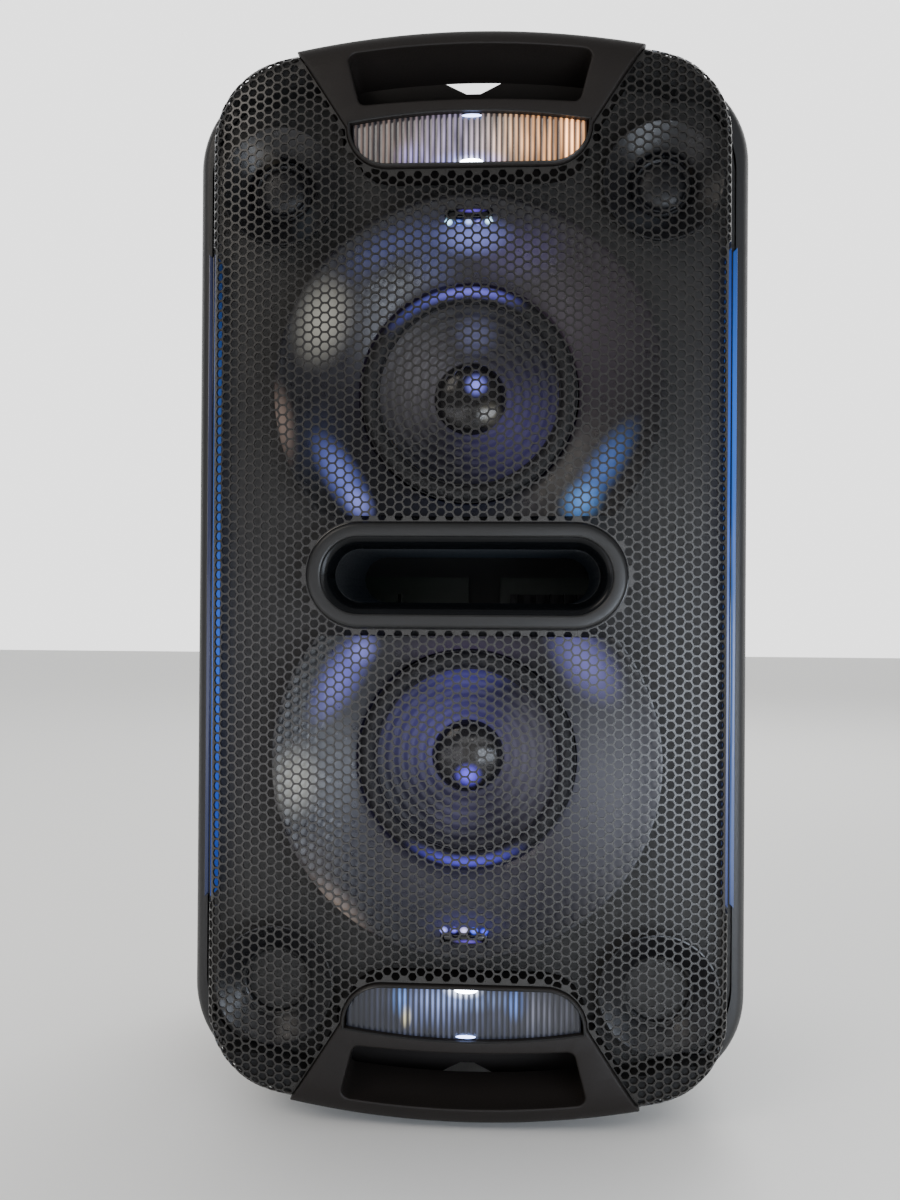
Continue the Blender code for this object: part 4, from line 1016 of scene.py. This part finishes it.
def makeSideFrames():
    f = sideFrame
    for label, side in (("left", -1), ("right", 1)):
        loops = []
        for step in range(7):
            a = math.radians(15 * step)       # a soft shoulder from the front to the widest part
            inset = 6.5 * (1 - math.sin(a))
            depth = f["front"] + (f["widest"] - f["front"]) * (1 - math.cos(a))
            loops.append(atDepth(speakerOutline(form["halfWidth"] - inset, form["halfHeight"] - inset,
                                                form["corner"] - inset), depth))
        loops.append(atDepth(speakerOutline(form["halfWidth"], form["halfHeight"], form["corner"]), f["back"]))
        inner = speakerOutline(f["innerHalfWidth"], f["innerHalfHeight"], f["innerCorner"])
        loops += [atDepth(inner, f["back"]), atDepth(inner, f["front"])]
        bm = bmesh.new()
        loft(bm, loops, ring=True)
        bmesh.ops.recalc_face_normals(bm, faces=bm.faces)
        tools = [block((-side * 10, -200, -320), (-side * 200, 0, 320)),
                 block((-10, -200, -320), (10, 0, 320))]
        for end in (1, -1):
            clear = bmesh.new()
            path = [(x, z * end) for x, z in podPath(0.5, 30.0)]
            loft(clear, [atDepth(path, -160), atDepth(path, -111.7)], closeFirst=True, closeLast=True)
            bmesh.ops.recalc_face_normals(clear, faces=clear.faces)
            tools += [clear, block((-72.3, -122, end * 242.7), (72.3, -80, end * 320))]
        finishPiece(label + "_shoulder_frame", carved(bm, tools), cabinetPlastic,
                    replaced=(label + "_side_frame",))


makeSideFrames()
print("frames made")


# rear cabinet: one moulding that narrows to the back
cabinet = {"wall": 3.5, "front": -88.0, "back": 145.0,
            "taper": ((-88, 0.985, 0.945), (-20, 0.980, 0.945), (60, 0.940, 0.940),
                     (120, 0.860, 0.910), (139, 0.800, 0.875), (145, 0.770, 0.850))}


def taperAt(depth):
    rows = cabinet["taper"]
    slopes = []
    for i in range(len(rows)):
        a, b = rows[max(0, i - 1)], rows[min(len(rows) - 1, i + 1)]
        slopes.append([(b[k] - a[k]) / (b[0] - a[0]) for k in (1, 2)])
    i = max(k for k in range(len(rows) - 1) if rows[k][0] <= depth)
    span = rows[i + 1][0] - rows[i][0]
    t = (depth - rows[i][0]) / span
    result = []
    for k in (0, 1):
        p, q = rows[i][k + 1], rows[i + 1][k + 1]
        m, n = slopes[i][k] * span, slopes[i + 1][k] * span
        result.append(p * (2 * t ** 3 - 3 * t ** 2 + 1) + m * (t ** 3 - 2 * t ** 2 + t)
                      + q * (3 * t ** 2 - 2 * t ** 3) + n * (t ** 3 - t ** 2))
    return result


def cabinetLoop(depth, shrink=0.0):
    wide, tall = taperAt(depth)
    base = speakerOutline(form["halfWidth"], form["halfHeight"], form["corner"], 12, 8)
    kx, kz = wide - shrink / form["halfWidth"], tall - shrink / form["halfHeight"]
    return [(x * kx, depth, z * kz) for x, z in base]


def makeCabinet():
    bm = bmesh.new()
    depths = [-88, -80, -60, -41, -39.4, -38.6, -37, -20, 0, 20, 40, 60, 75, 90, 105, 120, 128,
              134, 139, 142, 144.2]
    loops = [cabinetLoop(depth, 0.9 if depth in (-39.4, -38.6) else 0.0) for depth in depths]
    loops += [cabinetLoop(145, 1.0), cabinetLoop(145, 3.0)]
    inside = [cabinetLoop(depth, 3.5) for depth in (-88, -20, 60, 120, 137)] + [cabinetLoop(141.4, 5.0)]
    loft(bm, list(reversed(inside)) + loops, closeFirst=True, closeLast=True)
    bmesh.ops.recalc_face_normals(bm, faces=bm.faces)
    tools = [block((-55, -45, 267), (55, 35, 300)), block((-48, 118, -175), (48, 150, -105)),
             block((-62, 142, 150), (62, 150, 168), 1.2)]
    for x in (-92, 92):
        for z in (-200, 0, 200):
            tools.append(turned([(0, 141.8), (5.2, 141.8), (6.0, 150), (0, 150)], (x, 0, z), 32))
    for z in (-60, -40, -20, 0, 20, 40):
        tools.append(block((-50, 144.1, z - 1.2), (50, 150, z + 1.2)))
    finishPiece("moulded_cabinet", carved(bm, tools), cabinetPlastic, replaced=("rear_cabinet",), angle=28)
    # pan-head screws at the bottom of their wells
    for index, (x, z) in enumerate([(x, z) for x in (-92, 92) for z in (-200, 0, 200)]):
        head = turned([(0, 143.6), (2.4, 143.5), (3.6, 143.0), (4.0, 142.2), (4.0, 141.7), (0, 141.7)],
                      (x, 0, z), 32)
        slots = [block((x - 2.2, 143.0, z - 0.35), (x + 2.2, 146, z + 0.35)),
                 block((x - 0.35, 143.0, z - 2.2), (x + 0.35, 146, z + 2.2))]
        finishPiece("cabinet_screw_%d" % (index + 1), carved(head, slots), blackSteel)


makeCabinet()
print("cabinet made")


# control panel and its six buttons
panel = {"halfWidth": 54.7, "front": -44.7, "back": 34.7, "top": 278.2, "bottom": 272.7,
         "buttonRadius": 5.0, "clearance": 0.4}


def strokePath(points, width, height, closed=False):
    # a thin raised line through (x, y) points, as short joined bars
    bm = bmesh.new()
    pairs = list(zip(points, points[1:] + points[:1])) if closed else list(zip(points, points[1:]))
    for (x1, y1), (x2, y2) in pairs:
        long = math.hypot(x2 - x1, y2 - y1) + width * 0.6
        made = bmesh.ops.create_cube(bm, size=1.0)["verts"]
        bmesh.ops.scale(bm, vec=(long, width, height), verts=made)
        bmesh.ops.rotate(bm, matrix=Matrix.Rotation(math.atan2(y2 - y1, x2 - x1), 3, "Z"), verts=made)
        bmesh.ops.translate(bm, vec=((x1 + x2) / 2, (y1 + y2) / 2, 0), verts=made)
    return bm


def iconFor(name):
    w = 0.5
    if name == "power":
        bm = strokePath(arcPoints(0, 0, 1.9, math.radians(125), math.radians(415), 14), w, 0.12)
        return joined(bm, strokePath([(0, 0.6), (0, 2.4)], w, 0.12))
    if name == "light":
        bm = strokePath(arcPoints(0, 0, 1.0, 0, 2 * math.pi, 12), w, 0.12)
        for k in range(8):
            c, s = math.cos(k * math.pi / 4), math.sin(k * math.pi / 4)
            joined(bm, strokePath([(1.7 * c, 1.7 * s), (2.4 * c, 2.4 * s)], w * 0.8, 0.12))
        return bm
    if name == "volume_down":
        return strokePath([(-2, 0), (2, 0)], w, 0.12)
    if name == "volume_up":
        return joined(strokePath([(-2, 0), (2, 0)], w, 0.12), strokePath([(0, -2), (0, 2)], w, 0.12))
    if name == "source":
        bm = strokePath([(-2.0, 0), (1.2, 0)], w, 0.12)
        return joined(bm, strokePath([(0.2, 1.2), (1.6, 0), (0.2, -1.2)], w, 0.12))
    bm = strokePath(arcPoints(-0.9, 0, 1.0, math.radians(40), math.radians(320), 10), w, 0.12)
    return joined(bm, strokePath(arcPoints(0.9, 0, 1.0, math.radians(-140), math.radians(140), 10), w, 0.12))


def makeControls():
    p = panel
    names = ("power", "light", "volume_down", "volume_up", "source", "pairing")
    base = block((-p["halfWidth"], p["front"], p["bottom"]), (p["halfWidth"], p["back"], p["top"]), 1.0, 3)
    tools = []
    for name in names:
        x, y, _ = middleOf(name + "_button")
        r = p["buttonRadius"] + p["clearance"]
        tools.append(turned([(0, 267), (r, 267), (r, 277.6), (r + 0.7, 278.3), (r + 0.7, 282), (0, 282)],
                            (x, y, 0), 48, "z"))
    finishPiece("panel_plate", carved(base, tools), podPlastic, replaced=("control_panel",))
    for name in names:
        x, y, _ = middleOf(name + "_button")
        r = p["buttonRadius"]
        profile = [(0, 279.15), (2.6, 279.2), (3.7, 279.45), (4.2, 279.6), (4.6, 279.5), (4.9, 279.2),
                   (r, 278.8), (r, 272.0), (6.2, 272.0), (6.2, 270.4), (0, 270.4)]
        finishPiece(name + "_push_button", turned(profile, (x, y, 0), 48, "z"), rubberSkin,
                    name + "_key", (name + "_button",))
        icon = iconFor(name)
        bmesh.ops.translate(icon, vec=(x, y, 279.22), verts=icon.verts)
        finishPiece(name + "_mark", icon, paleInk, name + "_key")


makeControls()


# socket tub on the back
def makeSockets():
    low, high = (-47.7, -174.7), (47.7, -105.3)
    tub = block((low[0], 128, low[1]), (high[0], 144.2, high[1]), 0.8, 2)
    tools = [block((low[0] + 2.5, 131, low[1] + 2.5), (high[0] - 2.5, 160, high[1] - 2.5), 2.0, 3),
             block((-39.3, 120, -164.3), (-14.7, 135, -145.7)),
             block((-35.3, 120, -130.3), (-18.7, 135, -119.7)),
             turned([(0, 120), (3.5, 120), (3.5, 135), (0, 135)], (22, 0, -125), 32),
             turned([(0, 120), (7.3, 120), (7.3, 135), (0, 135)], (22, 0, -155), 32)]
    finishPiece("socket_tub", carved(tub, tools), cabinetPlastic, replaced=("socket_panel",))
    # mains inlet with two round pins in a stadium-shaped recess
    body = block((-39, 112, -164), (-15, 131.6, -146), 0.5)
    hole = bmesh.new()
    path = [(x - 27, z - 155) for x, z in stadium(8.4, 3.9, 0, 12)]
    loft(hole, [atDepth(path, 118), atDepth(path, 140)], closeFirst=True, closeLast=True)
    bmesh.ops.recalc_face_normals(hole, faces=hole.faces)
    inlet = carved(body, [hole])
    finishPiece("mains_inlet_shell", inlet, ductPlastic, replaced=("mains_inlet",))
    for label, x in (("left", -31.3), ("right", -22.7)):
        pin = turned([(0, 127.9), (0.7, 127.7), (1.15, 126.8), (1.2, 117.5), (0, 117.5)], (x, 0, -155), 20)
        finishPiece(label + "_mains_pin", pin, platedSteel)
    # microphone socket with a nut round it
    mic = [(0, 115), (3.3, 115), (3.3, 131.0), (3.9, 131.4), (4.6, 131.6), (5.0, 132.2),
           (6.6, 132.0), (7.0, 131.2), (7.0, 112), (0, 112)]
    finishPiece("mic_socket_barrel", turned(mic, (22, 0, -155), 48), ductPlastic,
                replaced=("mic_socket",))
    nut = turned([(4.9, 131.3), (6.4, 131.3), (6.4, 132.6), (6.0, 132.9), (5.2, 132.9), (4.9, 132.6)],
                 (22, 0, -155), 6)
    finishPiece("mic_socket_nut", nut, platedSteel)
    # level knob: fluted grip with a pointer line
    knob = turned([(0, 142.2), (5.0, 142.2), (5.6, 142.6), (6.6, 142.3), (7.1, 141.6), (7.5, 132.2),
                   (7.3, 131.8), (3.0, 131.8), (3.0, 120), (0, 120)], (22, 0, -125), 96)
    for vert in knob.verts:
        dx, dz = vert.co.x - 22, vert.co.z + 125
        r = math.hypot(dx, dz)
        if r > 6.9:
            flute = 1 - 0.035 * (1 + math.cos(24 * math.atan2(dz, dx))) / 2
            vert.co.x, vert.co.z = 22 + dx * flute, -125 + dz * flute
    bmesh.ops.recalc_face_normals(knob, faces=knob.faces)
    finishPiece("fluted_level_knob", knob, rubberSkin, "mic_level_dial", ("mic_level_knob",))
    line = block((21.6, 142.1, -123.5), (22.4, 142.5, -119.6), 0.1, 1)
    finishPiece("level_pointer", line, paleInk, "mic_level_dial")
    # marks on the floor of the tub: a plug, a slot and a microphone
    marks = [([(-29, -138), (-25, -138), (-25, -141), (-29, -141)], True), ([(-28, -136.5), (-28, -138)], False),
             ([(-26, -136.5), (-26, -138)], False), ([(-27, -141), (-27, -143)], False),
             ([(-30, -113), (-24, -113), (-24, -115.5), (-30, -115.5)], True),
             ([(20.8, -141), (20.8, -138), (23.2, -138), (23.2, -141)], True), ([(22, -141), (22, -143.4)], False)]
    ink = bmesh.new()
    for points, closed in marks:
        joined(ink, strokePath(points, 0.45, 0.12, closed))
    bmesh.ops.rotate(ink, matrix=Matrix.Rotation(math.pi / 2, 3, "X"), verts=ink.verts)
    for vert in ink.verts:
        vert.co = (vert.co.x, 131.05 + (vert.co.y if abs(vert.co.y) < 1 else 0), vert.co.z)
    finishPiece("socket_marks", ink, paleInk)


makeSockets()


# feet: rubber runners with rounded edges and shallow treads
def makeFeet():
    for label, side in (("left", -1), ("right", 1)):
        floor = -middleHeight / mm
        bm = block((side * 55.2, -59.8, floor), (side * 79.8, 99.8, -262), 1.6, 3)
        treads = [block((side * 50, y - 0.8, floor - 2), (side * 90, y + 0.8, floor + 0.8))
                  for y in range(-46, 95, 14)]
        finishPiece(label + "_rubber_runner", carved(bm, treads), rubberSkin, replaced=(label + "_foot",))


makeFeet()
print("back and feet made")


# the nodes whose shape is right get their finish here
keptFinishes = {
    "front_baffle": baffleBoard, "top_handle_well": podPlastic,
    "bottom_handle_well": podPlastic, "top_strobe_board": solderMask,
    "bottom_strobe_board": solderMask, "control_board": solderMask,
    "power_supply_board": solderMask, "amplifier_board": solderMask, "heat_sink": blackAluminium,
    "media_socket": platedSteel,
    "left_tweeter_motor": ferriteStone, "right_tweeter_motor": ferriteStone}
for wooferName in ("upper", "lower"):
    keptFinishes[wooferName + "_woofer_basket"] = platedSteel
    keptFinishes[wooferName + "_woofer_magnet"] = ferriteStone
    keptFinishes[wooferName + "_woofer_spider"] = spiderCloth
    keptFinishes[wooferName + "_woofer_voice_coil"] = copperWire
ductPaintedSheen = ductPlastic.copy()
ductPaintedSheen.name = "lit_matt_abs"                    # painted sheen: a faint blue-grey emission on the duct's walls
keptFinishes["port_duct"] = washOver(ductPaintedSheen, [(0, 0, 110, 60, 0, "#607890", 0.035)])
for nodeName, nodeFinish in keptFinishes.items():
    nodes[nodeName].data.materials.clear()
    nodes[nodeName].data.materials.append(nodeFinish)


stage = {"floor": "#e4e4e2", "world": "#f4f4f4", "worldFront": 0.45, "worldBack": 2.6, "lens": 36,
         "cameraPlace": (0.034, -0.787, 0.286), "cameraTurn": (0.0029, 0.0067, 0.0658),
         # place, aim, width, height, power, colour
         "lamps": {
             "key": ((-1.2, -1.6, 1.6), (0, 0, 0.3), 0.9, 0.9, 14, "#fff6ec"),
             "rightPanel": ((0.46, -0.80, 0.14), (0.1, 0, 0.2), 0.66, 0.26, 6.0, "#e6f0ff"),
             "leftPanel": ((-0.46, -0.86, 0.16), (-0.1, 0, 0.2), 0.7, 0.3, 1.2, "#f6f6ff"),
             "floorWash": ((0.1, -0.52, 0.34), (0.05, -0.40, 0.0), 0.5, 0.1, 0.5, "#ffffff"),
             "rim": ((0.6, 1.6, 1.9), (0, 0, 0.3), 1.0, 1.0, 25, "#ffffff")}}


def makeStage():
    camera = bpy.data.objects.new("camera", bpy.data.cameras.new("camera"))
    camera.data.lens = stage["lens"]
    camera.data.sensor_width = 36
    tilt, roll, turn = stage["cameraTurn"]
    camera.matrix_world = (Matrix.Translation(stage["cameraPlace"]) @ Matrix.Rotation(turn, 4, "Z")
                           @ Matrix.Rotation(math.pi / 2 + tilt, 4, "X") @ Matrix.Rotation(roll, 4, "Z"))
    bpy.context.scene.collection.objects.link(camera)
    bpy.context.scene.camera = camera
    bm = bmesh.new()
    bmesh.ops.create_grid(bm, x_segments=1, y_segments=1, size=6)
    mesh = bpy.data.meshes.new("floor")
    bm.to_mesh(mesh)
    bm.free()
    floor = bpy.data.objects.new("floor", mesh)
    bpy.context.scene.collection.objects.link(floor)
    mesh.materials.append(moulded("pale_backdrop", stage["floor"], stage["floor"], (0.7, 0.8), 8.0, 0.01))
    world = bpy.data.worlds.new("studio")
    bpy.context.scene.world = world
    world.use_nodes = True
    sky = world.node_tree.nodes["Background"]
    sky.inputs["Color"].default_value = srgb(stage["world"])
    # softer in front of the speaker than behind it
    tree = world.node_tree
    split = addNode(tree, "ShaderNodeSeparateXYZ", None,
                    {0: addNode(tree, "ShaderNodeTexCoord").outputs["Generated"]})
    fade = addNode(tree, "ShaderNodeMapRange", {
        "interpolation_type": "SMOOTHSTEP", "From Min": -0.2, "From Max": 0.8,
        "To Min": stage["worldFront"], "To Max": stage["worldBack"]}, {"Value": split.outputs["Y"]})
    tree.links.new(fade.outputs["Result"], sky.inputs["Strength"])
    for name, (place, target, wide, tall, power, colour) in stage["lamps"].items():
        data = bpy.data.lights.new(name, "AREA")
        data.shape = "RECTANGLE"
        data.size = wide
        data.size_y = tall
        data.energy = power
        data.color = srgb(colour)[:3]
        lamp = bpy.data.objects.new(name, data)
        aim = Vector(target) - Vector(place)
        lamp.matrix_world = Matrix.Translation(place) @ aim.to_track_quat("-Z", "Y").to_matrix().to_4x4()
        bpy.context.scene.collection.objects.link(lamp)


makeStage()
print("all made")
